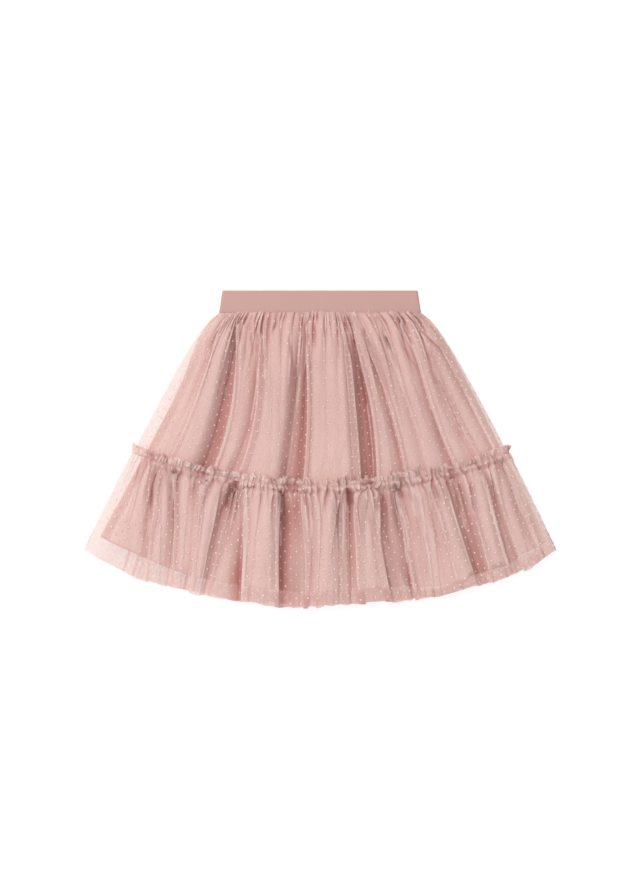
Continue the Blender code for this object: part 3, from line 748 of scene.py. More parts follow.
RUFFLE_CREASES = np.array([
    (-204, -14, -208, -28, -212, -41, 1.5, 2.0),
    (-184, -26, -197, -76, -202, -122, 1.8, 2.4),
    (-175, -22, -178, -30, -181, -38, 1.3, 2.0),
    (-138, -33, -140, -38, -144, -44, 1.4, 1.8),
    (-190, -43, -188, -32, -186, -25, 1.5, 2.6),
    (-94, -33, -100, -47, -108, -69, 3.8, 10.0),
    (-45, -45, -45, -55, -45, -69, 2.8, 7.0),
    (-35, -43, -33, -48, -31, -55, 2.0, 3.4),
    (-19, -45, -17, -57, -15, -69, 1.7, 3.4),
    (31, -45, 33, -53, 35, -66, 3.0, 8.0),
    (84, -41, 89, -47, 95, -58, 2.6, 7.0),
    (149, -23, 152, -30, 155, -41, 2.2, 5.0),
    (180, -19, 183, -25, 186, -34, 1.6, 2.8),
    (47, -43, 57, -84, 62, -118, 1.3, 1.6),
    (67, -47, 76, -68, 78, -100, 1.6, 2.6),
    (86, -46, 88, -68, 92, -106, 1.5, 2.4),
    (126, -35, 132, -48, 137, -60, 1.4, 2.2),
    (156, -48, 158, -64, 160, -84, 1.6, 2.4),
    (172, -38, 174, -60, 182, -106, 1.6, 2.4),
    (88, -64, 97, -94, 104, -128, 5.0, 0.8),
    (-78, -66, -82, -94, -86, -122, 4.0, 0.5),
])
CREASE_FLOOR = 3.8 * MM  # no crease goes below this, where the lining lies
FULL_CREASE = 2.2 * MM  # a crease this deep or deeper gets the full painted shade


# Besides the trough, each crease gives a mask of painted shade, the more the deeper it is.
def press_creases(x, y, z, creases, on_front):
    """Lowers the front along each crease, and tells how much of a crease each point has. The line is
    the parabola through the crease's three points, taken at 25 stations; the trough is a bell over the
    distance to the nearest one, times a taper that is 1 less the cube of how far it is from halfway."""
    t = np.linspace(0.0, 1.0, 25)
    pressed = np.zeros(x.shape)
    drop = np.zeros(x.shape)
    for row in creases * MM:
        line_x, line_y = parabola(t) @ row[0:6:2], parabola(t) @ row[1:6:2]
        width, depth = row[6:]
        near = ((x > line_x.min() - 4 * width) & (x < line_x.max() + 4 * width)
                & (y > line_y.min() - 4 * width) & (y < line_y.max() + 4 * width) & (on_front > 0))
        away = np.hypot(x[near][:, None] - line_x, y[near][:, None] - line_y)
        halfway = 1 - np.abs(2 * t[away.argmin(axis=1)] - 1) ** 3
        bell = np.exp(-(away.min(axis=1) / width) ** 2) * halfway
        drop[near] = np.maximum(drop[near], depth * bell)
        pressed[near] = np.maximum(pressed[near], min(depth / FULL_CREASE, 1.0) * bell)
    return np.where(on_front > 0, np.maximum(z - drop, np.minimum(z, CREASE_FLOOR)), z), pressed


print(len(TIER_CREASES), "creases on the tier and", len(RUFFLE_CREASES), "on the ruffle")

# %% The tier's shape
TIER_ROWS = 76
TIER_FRONT_COLUMNS = 860
TIER_BACK_COLUMNS = 290
TIER_GATHERS, TIER_BROAD, TIER_FINE = 84, 39, 190  # waves of three sizes, round the whole tier
TIER_GROWN = 0.36  # the way at which the broad folds have their whole height
TIER_END = 1.006
TIER_TUCK = 3.0 * MM  # how far the cloth goes up inside the waistband
TIER_FALL = 0.200  # metres from the waistband to the seam in the middle
TIER_BACK_FOLDS = (-0.70, -0.44, -0.18, 0.07, 0.37, 0.67)

tier_levels = np.concatenate([[-0.015], np.linspace(0.0, 1.0, TIER_ROWS) ** 1.35 * TIER_END])
tier_way = np.clip(tier_levels, 0.0, 1.0)
level = tier_levels[:, None]
down = np.maximum(level, 0.0)
wall, q, tier_front_length = spread_columns(TIER_FOLDS, TIER_GROWN, 0.85, 0.85, TIER_FRONT_COLUMNS)
share, height = folded_line(TIER_FOLDS, tier_way, TIER_GROWN, wall, q)
carried = np.interp(level, [0.0, 0.05], [3.7, 3.8]) * MM
back_base = np.interp(tier_levels, [0.0, 0.1, 0.9, 0.94, 1.03], [1.7, 0.7, 0.45, 1.5, 1.7]) * MM
back = pressed_back(tier_way, back_base, 1.0 * MM, TIER_BACK_FOLDS, 0.045, TIER_BACK_COLUMNS)
x, z, around, on_front, to_front, calm = folded_tube(share, height, carried, tier_levels, back)

length = 0.15 + 0.17 * swells(around, TIER_GATHERS, 11) + 0.14 * swells(around, 31, 12)
short_fade = np.exp(-(down / np.maximum(length, 0.05)) ** 1.6)
uneven = (1.0 + 0.75 * hills(around, level / TIER_END, 60, 3, 17)) * to_front
depth_small = np.interp(level, [-0.015, 0.0, 0.02, 0.06, 0.15], [0.5, 1.0, 2.6, 3.5, 3.2]) * MM
depth_broad = np.interp(level, [0.0, 0.04, 0.12, 0.3, 0.6, 1.03], [0.3, 1.4, 2.4, 1.3, 0.45, 0.4]) * MM
depth_fine = 0.5 * MM * np.exp(-(down / 0.05) ** 1.5)
lean = 0.8 + 0.6 * swells(around, 22, 18)
lean_broad = 1.1 * lean * np.interp(level, [0.0, 0.15, 0.5, 1.03], [0.2, 1.0, 0.3, 0.0])
x, z = add_gathers(x, z, [
    (gather_wave(around, TIER_GATHERS, 0.8, 13), depth_small * short_fade * uneven, lean * short_fade),
    (gather_wave(around, TIER_BROAD, 0.55, 14, 1.5 * level), depth_broad * uneven, lean_broad),
    (gather_wave(around, TIER_FINE, 0.4, 15), depth_fine * to_front, 0.0),
], calm)
z = z + 0.3 * MM * (1 + hills(around, level / TIER_END, 230, 9, 16)) * on_front * calm  # fine crumpling
tier_half = half_width(tier_levels)[:, None]
y = down_y(down, x / tier_half)
y[0] += TIER_TUCK
z, tier_crease_shade = press_creases(x, y, z, TIER_CREASES, on_front)
tier_down = np.concatenate([[-TIER_TUCK], tier_levels[1:] * TIER_FALL])
tier_sheet = Sheet(x, y, z, around, tier_down)
tier_cut = tier_sheet.measure_round(int(TIER_ROWS * 0.8))
print("folded front line", round(tier_front_length, 3), "m")
print("girth at the waist, middle and foot", tier_sheet.girth()[[1, TIER_ROWS // 2, TIER_ROWS]].round(3))

# %% [markdown]
# ## What the net is told
#
# The three numbers of the net come from the finished shape. Depth, which paints shade into the net's
# colour, is measured from the line over the ridges round a point, the painted highlight from how near the
# cloth turns back under itself, and closeness falls with the distance from a gathered seam. At the left
# side, where no lining lies behind, the net is open.

# %% Numbers for the net
def line_of(sheet, levels, front_columns, upper, reach, wanted_levels):
    """The highest or lowest line of a sheet's front, widened by reach bins, at other levels."""
    front = sheet.points[:, :front_columns]
    line = envelope(front[:, :, 0] / half_width(levels)[:, None], front[:, :, 2], upper)
    line = spread(line, reach, upper)
    r = np.clip(np.searchsorted(levels, wanted_levels, side="right") - 1, 0, len(levels) - 2)
    part = np.clip((wanted_levels - levels[r]) / (levels[r + 1] - levels[r]), 0.0, 1.0)[:, None]
    return line[r] * (1 - part) + line[r + 1] * part


def set_values(piece, name, values):
    """Stores one number for each point of a piece."""
    stored = piece.data.attributes.new(name, "FLOAT", "POINT")
    stored.data.foreach_set("value", values.reshape(-1).astype(np.float32))


# The colour's painted shade follows this depth; the underside's constant 0.3 paints it a little shaded.
def fold_depth(share, z, front_columns, small=0.7, broad=1.0):
    """How deep each point lies in the folds, from 0 on a ridge to 1: what the drop below the line over
    the ridges round it has beyond a shallow part, as a part of the full drop. It is taken twice, for
    the folds over 13 bins and for the small gathers over 4, and the larger counts. broad and small are
    the weights of the two, for each row. The underside, pressed flat, has a constant depth."""
    share, front_z = share[:, :front_columns], z[:, :front_columns]
    top = envelope(share, front_z, True)
    depth = np.full(z.shape, 0.3)
    depth[:, :front_columns] = 0.0
    for reach, shallow, full, weight in ((13, 2.2 * MM, 7.0 * MM, broad), (4, 0.6 * MM, 2.2 * MM, small)):
        drop = read_line(spread(top, reach, True), share) - front_z
        part = weight * np.clip((drop - shallow) / full, 0.0, 1.0)
        depth[:, :front_columns] = np.maximum(depth[:, :front_columns], part)
    return depth


# This edge is also where the net gets a painted highlight and closer threads.
def fold_edges(x, width=1.2 * MM, reach=10, overlap=1.2 * MM):
    """1 at the edge of a fold, where the cloth turns back under itself and one looks along the net, and
    0 a few millimetres from it: a bell over the distance in X to the nearest turn. A turn counts by how
    far the cloth goes back on both sides of it."""
    forward = np.roll(x, -1, axis=1) > x
    turns = forward != np.roll(forward, 1, axis=1)
    back = np.minimum(np.abs(x - np.roll(x, 4, axis=1)), np.abs(x - np.roll(x, -4, axis=1)))
    size = turns * np.clip(back / overlap, 0.0, 1.0)
    edge = np.zeros(x.shape)
    for shift in range(-reach, reach + 1):
        away = (x - np.roll(x, shift, axis=1)) / width
        edge = np.maximum(edge, np.roll(size, shift, axis=1) * np.exp(-away ** 2))
    return edge


# %% The tier's net
tier = tube_object("upper_tier", tier_sheet, tulle)
across = x / tier_half
edge = fold_edges(x)
at_left = x < 0
at_margin = eased((1 - np.abs(across) - np.where(at_left, 0.03, 0.0)) / np.where(at_left, 0.11, 0.05))
open_net = np.where(at_left, 2.1, 1.6)
close_net = np.interp(level, [0.0, 0.06, 0.2, 0.4, 0.9, 1.0], [5.4, 4.6, 3.4, 2.7, 2.6, 3.6])
small_weight = np.interp(level, [0.0, 0.15, 0.4, 1.0], [1.0, 0.85, 0.36, 0.28])
broad_weight = np.interp(level, [0.0, 0.2, 0.45, 0.62], [0.45, 0.6, 0.84, 1.0])
depth = fold_depth(across, z, TIER_FRONT_COLUMNS, small_weight, broad_weight) * eased((1 + across) / 0.12)
# Painted shade for the tier's net: an even part over its front, strongest in its upper half and weakest near
# the left side, with the folds' and the creases' shade on top; fold edges get none.
shade = np.interp(level, [0.0, 0.3, 0.55, 0.8, 1.0], [0.28, 0.30, 0.27, 0.11, 0.05]) * on_front * np.interp(
    across, [-1.0, -0.72, -0.6, 0.3, 0.65, 0.82, 1.0], [0.1, 0.2, 1.0, 1.0, 1.05, 0.7, 0.5])
painted_fold_shade = shade + (1.0 - shade) * np.maximum(depth, 0.8 * tier_crease_shade)
set_values(tier, "closeness", open_net + (close_net - open_net + 2.0 * edge) * at_margin + 1.0 * depth)
set_values(tier, "depth", painted_fold_shade * (1.0 - 0.9 * edge))
set_values(tier, "painted_highlight", edge)
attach(tier, "root")
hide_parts("upper_tier_front", "upper_tier_back")

# %% [markdown]
# ## The ruffle
#
# The ruffle is a longer strip, gathered a little below its own top edge. What is above the stitches
# stands as a crinkled heading on the tier, and what is below falls in its own folds. At the seam it
# lies on the tier's folds, which fade out under it within a hand's breadth. The heading is one more
# wave, with many small loops whose size, lean and height wander, measured along the seam so that the
# loops stay as wide in a fold as on a ridge. A wave is plain to steer, and a few columns carry a loop.

# %% The ruffle's shape
RUFFLE_FRONT_COLUMNS = 1180
RUFFLE_BACK_COLUMNS = 320
RUFFLE_GATHERS, RUFFLE_BROAD, RUFFLE_FINE, FRILL_LOOPS = 112, 47, 262, 228
RUFFLE_GROWN = 0.12
RUFFLE_BACK_FOLDS = (-0.82, -0.56, -0.33, -0.11, 0.15, 0.41, 0.59, 0.82)
HEADING_ROWS = 12
HEADING_TOP = 0.957  # the level of the heading's top edge
HEADING_FLARE = 3.5 * MM
SEAM_BED = 4.5 * MM  # the height that carries the ruffle where the tier has ended
RUFFLE_CLEAR = 0.7 * MM
RUFFLE_FALL = 0.1377  # metres from the seam to the hem in the middle
HEM_SHARES = np.array([-1.0, -0.9, -0.78, -0.6, -0.4, -0.1, 0.08, 0.3, 0.5, 0.65, 0.8, 0.92, 1.0])
HEM_DROPS = np.array([0.0, 1.5, 6.0, 3.5, 2.0, 0.0, -3.0, 0.0, 4.5, 3.5, 6.5, 6.0, 1.0])  # millimetres

ruffle_levels = np.concatenate([np.linspace(HEADING_TOP, 1.0, HEADING_ROWS + 1)[:-1],
                                1.0 + np.linspace(0.0, 1.0, 50) ** 1.4])
ruffle_way = np.clip(ruffle_levels - 1.0, 0.0, 1.0)
level = ruffle_levels[:, None]
below = ruffle_way[:, None]
up = np.clip((1.0 - level) / (1.0 - HEADING_TOP), 0.0, 1.0)
heading = eased((1.0 - level) / 0.02)
wall, q, _ = spread_columns(RUFFLE_FOLDS, RUFFLE_GROWN, 0.8, 1.8, RUFFLE_FRONT_COLUMNS)
share, height = folded_line(RUFFLE_FOLDS, ruffle_way, RUFFLE_GROWN, wall, q)

# The tier's highest line carries the heading and the seam. The tier ends there, so the line fades out.
tier_top = line_of(tier_sheet, tier_levels, TIER_FRONT_COLUMNS, True, 2, np.minimum(ruffle_levels, TIER_END))
fading = 1.0 - eased((level - TIER_END) / 0.11)
carried = SEAM_BED + (read_line(tier_top, share) + RUFFLE_CLEAR - SEAM_BED) * fading
back_base = np.full(len(ruffle_levels), 0.45 * MM)
back = pressed_back(ruffle_way, back_base, 0.9 * MM, RUFFLE_BACK_FOLDS, 0.04, RUFFLE_BACK_COLUMNS)
x, z, around, on_front, to_front, calm = folded_tube(share, height, carried, ruffle_levels, back)
seam_step = np.abs(np.diff(x[HEADING_ROWS], append=x[HEADING_ROWS, :1])) + 0.05 * MM
along_seam = running(seam_step[:-1]) / seam_step.sum()

length = 0.22 + 0.15 * swells(around, RUFFLE_GATHERS, 24) + 0.12 * swells(around, 37, 25)
short_fade = np.exp(-(below / np.maximum(length, 0.06)) ** 1.6)
uneven = (1.0 + 0.5 * hills(around, below, 75, 3, 33)) * to_front
lean = 0.8 + 0.6 * swells(around, 30, 32)
depth_small = np.interp(level, [0.992, 1.0, 1.01, 1.03, 1.15], [1.2, 1.5, 2.6, 3.4, 3.2]) * MM
depth_broad = np.interp(level, [HEADING_TOP, 1.0, 1.05, 1.15, 1.4, 2.0], [0.6, 0.5, 1.6, 2.0, 1.0, 0.8]) * MM
depth_fine = np.interp(level, [HEADING_TOP, 0.99, 1.0, 1.04, 1.12], [1.0, 0.5, 0.3, 0.4, 0.0]) * MM
lean_broad = 0.75 * lean * np.interp(level, [1.0, 1.15, 1.6, 2.0], [0.2, 1.0, 0.4, 0.2])
frill_size = 1.0 + 0.75 * swells(along_seam, 120, 34)
depth_frill = (0.8 + 2.6 * up) * frill_size * heading * MM
lean_frill = (1.2 + 1.0 * swells(along_seam, 52, 35)) * up ** 0.7
frill_wave = gather_wave(along_seam, FRILL_LOOPS, 1.5, 36)
frill_top = frill_wave[1]
x, z = add_gathers(x, z, [
    (gather_wave(around, RUFFLE_GATHERS, 0.6, 21), depth_small * short_fade * uneven, lean * short_fade),
    (gather_wave(around, RUFFLE_BROAD, 0.55, 22, 1.6 * below), depth_broad * uneven, lean_broad),
    (gather_wave(around, RUFFLE_FINE, 0.4, 23), depth_fine * to_front, 0.0),
    (frill_wave, depth_frill * (0.3 + 0.7 * on_front), lean_frill),
], calm + (1 - calm) * 0.85 * heading)
ripple = up * (2.2 + 1.0 * hills(around, up, 300, 3, 26) + 1.0 * swells(around, 44, 37))
z = z + (ripple + 0.3 * (1 + hills(around, below, 300, 7, 27))) * MM * on_front * calm
print("ruffle: one wave of", FRILL_LOOPS, "loops for the heading and three for its gathers")

# %% [markdown]
# Down the skirt, the heading's loops bend to and fro and stand at uneven heights, the seam wanders by a
# millimetre, and the raw hem is stepped where a fold carries it up or down. At both tips of the seam the
# heading stands out past the side.

# %% The heading's loops and the hem
ruffle_half = half_width(ruffle_levels)[:, None]
share_now = x / ruffle_half
at_ends = np.clip((np.abs(share_now) - 0.93) / 0.07, 0.0, 1.0) ** 2 * np.sign(share_now)
x = x + HEADING_FLARE * at_ends * np.interp(level, [HEADING_TOP, 1.0, 1.12], [1.0, 0.45, 0.0])
y = down_y(level, np.clip(share_now, -1.02, 1.02))
loop_bend = (frill_top - 0.5) * frill_size * (-3.4 + 3.4 * swells(along_seam, 46, 40))
loop_height = (1.3 * hills(along_seam, up, 290, 2, 28) + 1.3 * swells(along_seam, 58, 29)
               + 1.8 * swells(along_seam, 24, 38))
left_tip = 5.0 * np.clip((-share_now - 0.93) / 0.07, 0.0, 1.0)
seam_wander = 1.2 * swells(along_seam, 46, 39) * (1.0 - eased(below / 0.3))
y = y + (up ** 1.5 * loop_bend + up * (loop_height + left_tip) + seam_wander) * MM
z, ruffle_crease_shade = press_creases(x, y, z, RUFFLE_CREASES, on_front)
hem_step = 1.9 * swells(around, 34, 30) + 1.2 * swells(around, 90, 31)
low_valley = np.clip((12.0 * MM - z) / (6.0 * MM), 0.0, 1.0) * on_front
hem_rise = 0.6 + 1.2 * hem_step + 4.0 * low_valley - np.interp(share_now, HEM_SHARES, HEM_DROPS)
y = y + eased((level - 1.55) / 0.45) * hem_rise * MM
ruffle_down = (ruffle_levels - HEADING_TOP) * RUFFLE_FALL
ruffle_sheet = Sheet(x, y, z, around, ruffle_down)
ruffle_cut = ruffle_sheet.measure_round(-12)
print("girth at the heading, seam and hem", ruffle_sheet.girth()[[0, HEADING_ROWS, -1]].round(3))

# %% [markdown]
# The ruffle's net gets painted shade in the tucks of the heading, in a thin line along the seam where it
# is gathered, and below the lining's hem, and one stretch of that hem at the right gets a painted shadow
# line of its own. The heading's loops, flecks along it and its cut top edge get a painted highlight.

# %% The ruffle's net
# Shares across the skirt, and the painted shade of the net there below the hem and along its line.
SHADE_BELOW_HEM = ([-1.0, -0.5, -0.2, 0.6, 0.8, 0.86, 1.0], [0.0, 0.14, 0.56, 0.60, 0.55, 0.32, 0.60])
HEM_SHADOW_LINE = ([0.44, 0.48, 0.60, 0.63, 0.65, 0.74, 0.79], [0.0, 0.7, 1.0, 0.5, 1.0, 0.8, 0.0])

ruffle = tube_object("ruffle", ruffle_sheet, tulle)
across = x / ruffle_half
edge = fold_edges(x)
tuck = 1.0 - frill_top
fleck = hills(along_seam, up, 410, 4, 41)
at_tips = 0.3 + 0.7 * eased((1.0 - np.abs(across)) / 0.09)
small_weight = np.interp(level, [1.0, 1.1, 1.3, 2.0], [0.8, 0.6, 0.33, 0.18])
# Painted shade in the ruffle's folds and creases, less in the heading and near the left side, none at fold
# edges.
painted_fold_shade = fold_depth(across, z, RUFFLE_FRONT_COLUMNS, small_weight) * (1.0 - 0.5 * heading)
painted_fold_shade = np.maximum(painted_fold_shade * eased((1 + across) / 0.14), 0.95 * ruffle_crease_shade) * (1.0 - 0.9 * edge)
# Painted shade in the heading's tucks, uneven with the flecks, and in a thin line along the seam.
painted_tuck_shade = (0.40 + 0.35 * fleck) * tuck * heading * (1.0 - 0.65 * up) * at_tips
seam_shade_strength = 0.08 + 0.42 * np.maximum(swells(along_seam, 75, 42), 0.0) + 0.18 * tuck
painted_seam_shade = np.exp(-((level - 0.999) / 0.011) ** 2) * seam_shade_strength * at_tips
# Painted shade below the lining's hem, and a painted shadow line along one stretch of it at the right.
past_hem = level - np.interp(across, LINING_HEM_SHARES, LINING_HEM_LEVELS)
shade_below_hem = eased((past_hem + 0.02) / 0.06) * np.interp(across, *SHADE_BELOW_HEM) * on_front
hem_shadow_line = 0.85 * np.exp(-((past_hem - 0.010) / 0.018) ** 2) * np.interp(across, *HEM_SHADOW_LINE) * on_front
depth = np.maximum.reduce([painted_fold_shade, painted_tuck_shade, painted_seam_shade, shade_below_hem, hem_shadow_line])

# Painted highlight: at fold edges, on the tops of the heading's loops and its flecks, and along its cut top
# edge.
lit = (0.95 * edge + heading * (0.6 * up * (1.0 - tuck) + 0.5 * np.maximum(fleck, 0.0))
       + 0.7 * np.clip((up - 0.85) / 0.15, 0.0, 1.0))
open_net = np.interp(across, [-1.0, -0.5, 0.0, 1.0], [2.0, 1.8, 1.0, 1.0])
close_net = np.interp(level, [1.0, 1.06, 1.2, 1.6, 1.85, 2.0], [5.6, 5.0, 3.6, 3.4, 4.8, 5.6])
closed = np.maximum(heading, np.interp(across, [-1.0, -0.9, -0.7, -0.45, 0.55, 0.68, 0.80, 0.92, 1.0],
                                       [0.02, 0.16, 0.45, 1.0, 1.0, 0.75, 0.75, 0.95, 0.5]))
set_values(ruffle, "closeness", open_net + (close_net - open_net + 2.0 * edge) * closed + 1.2 * depth)
set_values(ruffle, "depth", depth)
set_values(ruffle, "painted_highlight", np.clip(lit, 0.0, 1.0))
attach(ruffle, "root")
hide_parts("ruffle_front", "ruffle_back")

# %% [markdown]
# ## The lining
#
# The lining is plain opaque cloth that lies inside the tulle and takes part in its broad folds. Its
# front is worked out from the tulle's lowest line, a little below it, so it fills every ridge and never
# It is narrower than the tulle at both sides, most of all at the left, and its turned
# hem ends above the tulle's cut edge. Its colour has painted shade in the folds and a painted shade line
# along the hem, and the back's hem at the right, which hangs a little lower, is painted as in shade.

# %% The lining's shape
LINING_COLUMNS = 480
LINING_BACK_COLUMNS = 120
LINING_CLEAR = 0.6 * MM
LINING_END = 1.87
LINING_FALL = 0.170  # metres down the lining for each level
LINING_TUCK = 2.5 * MM
LEAST_GAP, EDGE_GAP = 0.5 * MM, 0.6 * MM  # from its back up to its front, everywhere and at the sides
EDGE_REACH = 13 * MM
INSET_LEVELS = [0.0, 0.2, 0.4, 0.6, 1.0, 1.2, 1.4, 1.9]
INSET_LEFT = np.array([0.5, 3.4, 10.8, 13.6, 12.8, 12.6, 12.5, 12.0]) * MM

lining_levels = np.concatenate([[-0.01], np.linspace(0.0, 1.0, 110) ** 1.1 * LINING_END])
level = lining_levels[:, None]
low = {}
for reach in (1, 3):
    from_tier = line_of(tier_sheet, tier_levels, TIER_FRONT_COLUMNS, False, reach, lining_levels)
    from_ruffle = line_of(ruffle_sheet, ruffle_levels, RUFFLE_FRONT_COLUMNS, False, reach, lining_levels)
    low[reach] = np.where(level <= TIER_END, from_tier, from_ruffle)
lowest = low[1] + (low[3] - low[1]) * eased(level / 0.4)
lowest = np.where(level > 0.85, spread(lowest, 1, False, axis=0), lowest) - LINING_CLEAR

lining_half = half_width(lining_levels)[:, None]
inset_right = np.interp(level, [0.0, 0.2, 0.5, 1.0, 1.9], [0.5, 1.5, 3.0, 4.0, 4.0]) * MM
left = np.interp(level, INSET_LEVELS, INSET_LEFT) + LINING_CLEAR - lining_half
right = lining_half - inset_right - LINING_CLEAR
x_front = left + (right - left) * np.linspace(0.0, 1.0, LINING_COLUMNS)
x_back = right + (left - right) * np.linspace(0.0, 1.0, LINING_BACK_COLUMNS)
back_z = np.interp(level, [0.0, 0.1, 0.9, 0.94, 1.05, 1.1], [2.6, 2.1, 2.0, 3.0, 3.0, 2.0]) * MM
front_z = np.maximum(read_line(lowest, x_front / lining_half), back_z + LEAST_GAP)
edge_z = back_z + EDGE_GAP
to_edge = np.minimum(x_front - left, right - x_front)
front_z = edge_z + (front_z - edge_z) * eased(to_edge / EDGE_REACH)
x, z = tube_of(x_front, front_z, x_back, np.broadcast_to(back_z, x_back.shape))
columns = x.shape[1]
share = np.clip(x / lining_half, -1, 1)
on_back = np.arange(columns) >= LINING_COLUMNS + TURN_COLUMNS
hem_level = np.interp(share, LINING_HEM_SHARES, LINING_HEM_LEVELS)
hem_level = hem_level + 0.055 * eased((share - 0.56) / 0.08) * eased((0.90 - share) / 0.08) * on_back
stretch = 1.0 + (hem_level / LINING_END - 1.0) * eased((level - 1.2) / (LINING_END - 1.2))
y = down_y(np.maximum(level, 0) * stretch, share)
y[0] += LINING_TUCK
around = np.arange(columns) / columns
lining_sheet = Sheet(x, y, z, around, np.maximum(lining_levels, 0) * LINING_FALL)
lining_girth = lining_sheet.girth()
lining_cut = float(lining_girth[-3])
lining_sheet.whole = lining_cut
lining_sheet.around = around * lining_cut
print("girth at the waist, seam and hem", lining_girth[[1, 62, -1]].round(3))

lining = tube_object("lining", lining_sheet, lining_finish)
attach(lining, "root")
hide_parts("lining_front", "lining_back")
# Painted shade on the lining: some everywhere and more in its folds, none at the side folds and less near
# the left edge, deep over the back's hem at the right, and a line along the hem's last row.
back_hem_shade = 0.95 * on_back * eased((share - 0.5) / 0.06) * eased((level - 1.7) / 0.1)
at_side = eased((1.0 - np.abs(x) / np.abs(x).max(axis=1, keepdims=True)) / 0.06)
depth = (0.14 + 0.86 * fold_depth(x / lining_half, z, LINING_COLUMNS)) * at_side
depth = np.maximum(depth - 0.16 * (1.0 - eased((1.0 + share) / 0.2)), back_hem_shade)
depth[-1] = np.maximum(depth[-1], 0.9)
set_values(lining, "depth", depth)

# %% [markdown]
# ## The waistband
#
# A wide elastic covered in smooth knit cloth, sewn on over the gathers. It is a flattened loop with two
# walls. A profile of the wall, with rounded edges and the shallow groove of the seam near the foot, is
# carried round the loop. A box with bevels would do for the outside, but not for the hollow inside.

# %% The waistband's shape
BAND_STRAIGHT = 240
BAND_ROUND = 14
BAND_TURN = 0.455  # metres round the loop
WALL_TURN = 0.052  # metres round the wall's own section
SEAM_RISE = 1.7 * MM  # the groove's height over the band's foot
band_section = np.array([  # distance up the band, distance in from the outside, in millimetres
    (0.0, 0.55), (0.15, 0.2), (0.5, 0.0), (1.3, 0.0), (1.7, 0.18), (2.1, 0.0), (4.0, -0.02), (8.0, -0.05),
    (12.5, -0.06), (17.0, -0.05), (21.0, -0.02), (23.6, 0.0), (24.5, 0.0), (24.85, 0.2), (25.0, 0.6),
    (24.85, 1.05), (24.4, 1.3), (12.5, 1.3), (0.6, 1.3), (0.15, 1.05),
]) * MM


def loop_round(rise, inset):
    """One turn round the flattened loop, at a height up the band and a distance in from its outside:
    along the top from left to right, round the end, and back below. The loop narrows evenly upwards."""
    radius = BAND_DEPTH / 2
    centre = BAND_FOOT_HALF + (BAND_TOP_HALF - BAND_FOOT_HALF) * rise / BAND_HEIGHT - radius
    reach = radius - inset
    along = np.linspace(-centre, centre, BAND_STRAIGHT)
    turn = np.linspace(np.pi / 2, -np.pi / 2, BAND_ROUND + 2)[1:-1]
    x = np.concatenate([along, centre + reach * np.cos(turn), along[::-1], -centre - reach * np.cos(turn)])
    z = np.concatenate([np.full(BAND_STRAIGHT, radius + reach), radius + reach * np.sin(turn),
                        np.full(BAND_STRAIGHT, radius - reach), radius - reach * np.sin(turn)])
    return np.stack([x, np.full(len(x), BAND_FOOT_Y + rise), z], axis=-1)


band_points = np.array([loop_round(rise, inset) for rise, inset in band_section])
rings, columns = band_points.shape[:2]
r, c = grid_cells(rings, columns, upwards=True)
ring_run = np.arange(columns + 1) / columns * BAND_TURN
section_run = np.append(running(np.hypot(*np.diff(band_section, axis=0).T)), WALL_TURN)
uv = np.stack([ring_run[c], section_run[r]], axis=-1)
faces = r % rings * columns + c % columns
band = mesh_object("waistband_loop", band_points, faces, elastic_finish, uv)
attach(band, "root")
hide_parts("waistband")
print("waistband", len(faces) * 2, "triangles")

# %% [markdown]
# ## Dots and stitches
#
# The tulle carries small flocked dots in a staggered pattern. Each one is a flat bead with a few faces.
# Its place is given in the cloth's own coordinates, and the sheet's grid turns that into a place in
# space, so the dots ride over every fold and gather as they do on the real net. A texture could show
# them too, but beads stand up from the cloth and keep a crisp edge. A stitch is placed the same way.

# %% Dots
DOT_PITCH = 13.0 * MM
DOT_SIDES = 8
DOT_RISE, DOT_SINK = 0.2 * MM, 0.1 * MM
FLOOR_CLEAR = 0.05 * MM


def unit(vectors):
    """The vectors at length 1."""
    return vectors / (np.linalg.norm(vectors, axis=-1, keepdims=True) + 1e-12)


def on_cloth(sheet, around, down):
    """Places on a sheet: the point, the unit directions along and down the cloth, and the outward
    normal. Points are blended from the four corners of their cell."""
    columns = sheet.points.shape[1]
    a = np.interp(around, np.append(sheet.around, sheet.whole), np.arange(columns + 1.0))
    c = np.floor(a).astype(int)
    fa = (a - c)[:, None]
    r = np.clip(np.searchsorted(sheet.down, down, side="right") - 1, 0, len(sheet.down) - 2)
    fr = ((down - sheet.down[r]) / (sheet.down[r + 1] - sheet.down[r]))[:, None]
    p00, p01 = sheet.points[r, c % columns], sheet.points[r, (c + 1) % columns]
    p10, p11 = sheet.points[r + 1, c % columns], sheet.points[r + 1, (c + 1) % columns]
    point = (p00 * (1 - fa) + p01 * fa) * (1 - fr) + (p10 * (1 - fa) + p11 * fa) * fr
    along = (p01 - p00) * (1 - fr) + (p11 - p10) * fr
    downwards = (p10 - p00) * (1 - fa) + (p11 - p01) * fa
    along, normal = unit(along), unit(np.cross(downwards, along))
    return point, along, np.cross(along, normal), normal


def circle(sides, first, second):
    """The corners of a circle of radius 1 that is spanned by two directions for each place."""
    angle = np.arange(sides)[:, None] / sides * 2 * np.pi
    return np.cos(angle) * first[:, None] + np.sin(angle) * second[:, None]


def copies(name, points, one, material):
    """Many small pieces as one mesh: points[piece, corner], with the faces of one piece for each."""
    points[..., 2] = np.maximum(points[..., 2], FLOOR_CLEAR)
    count, corners = points.shape[:2]
    faces = one + corners * np.arange(count)[:, None, None]
    piece = mesh_object(name, points, faces.reshape(-1, one.shape[1]), material)
    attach(piece, "root")
    print(name, count, "pieces of", len(one), "faces")
    return piece


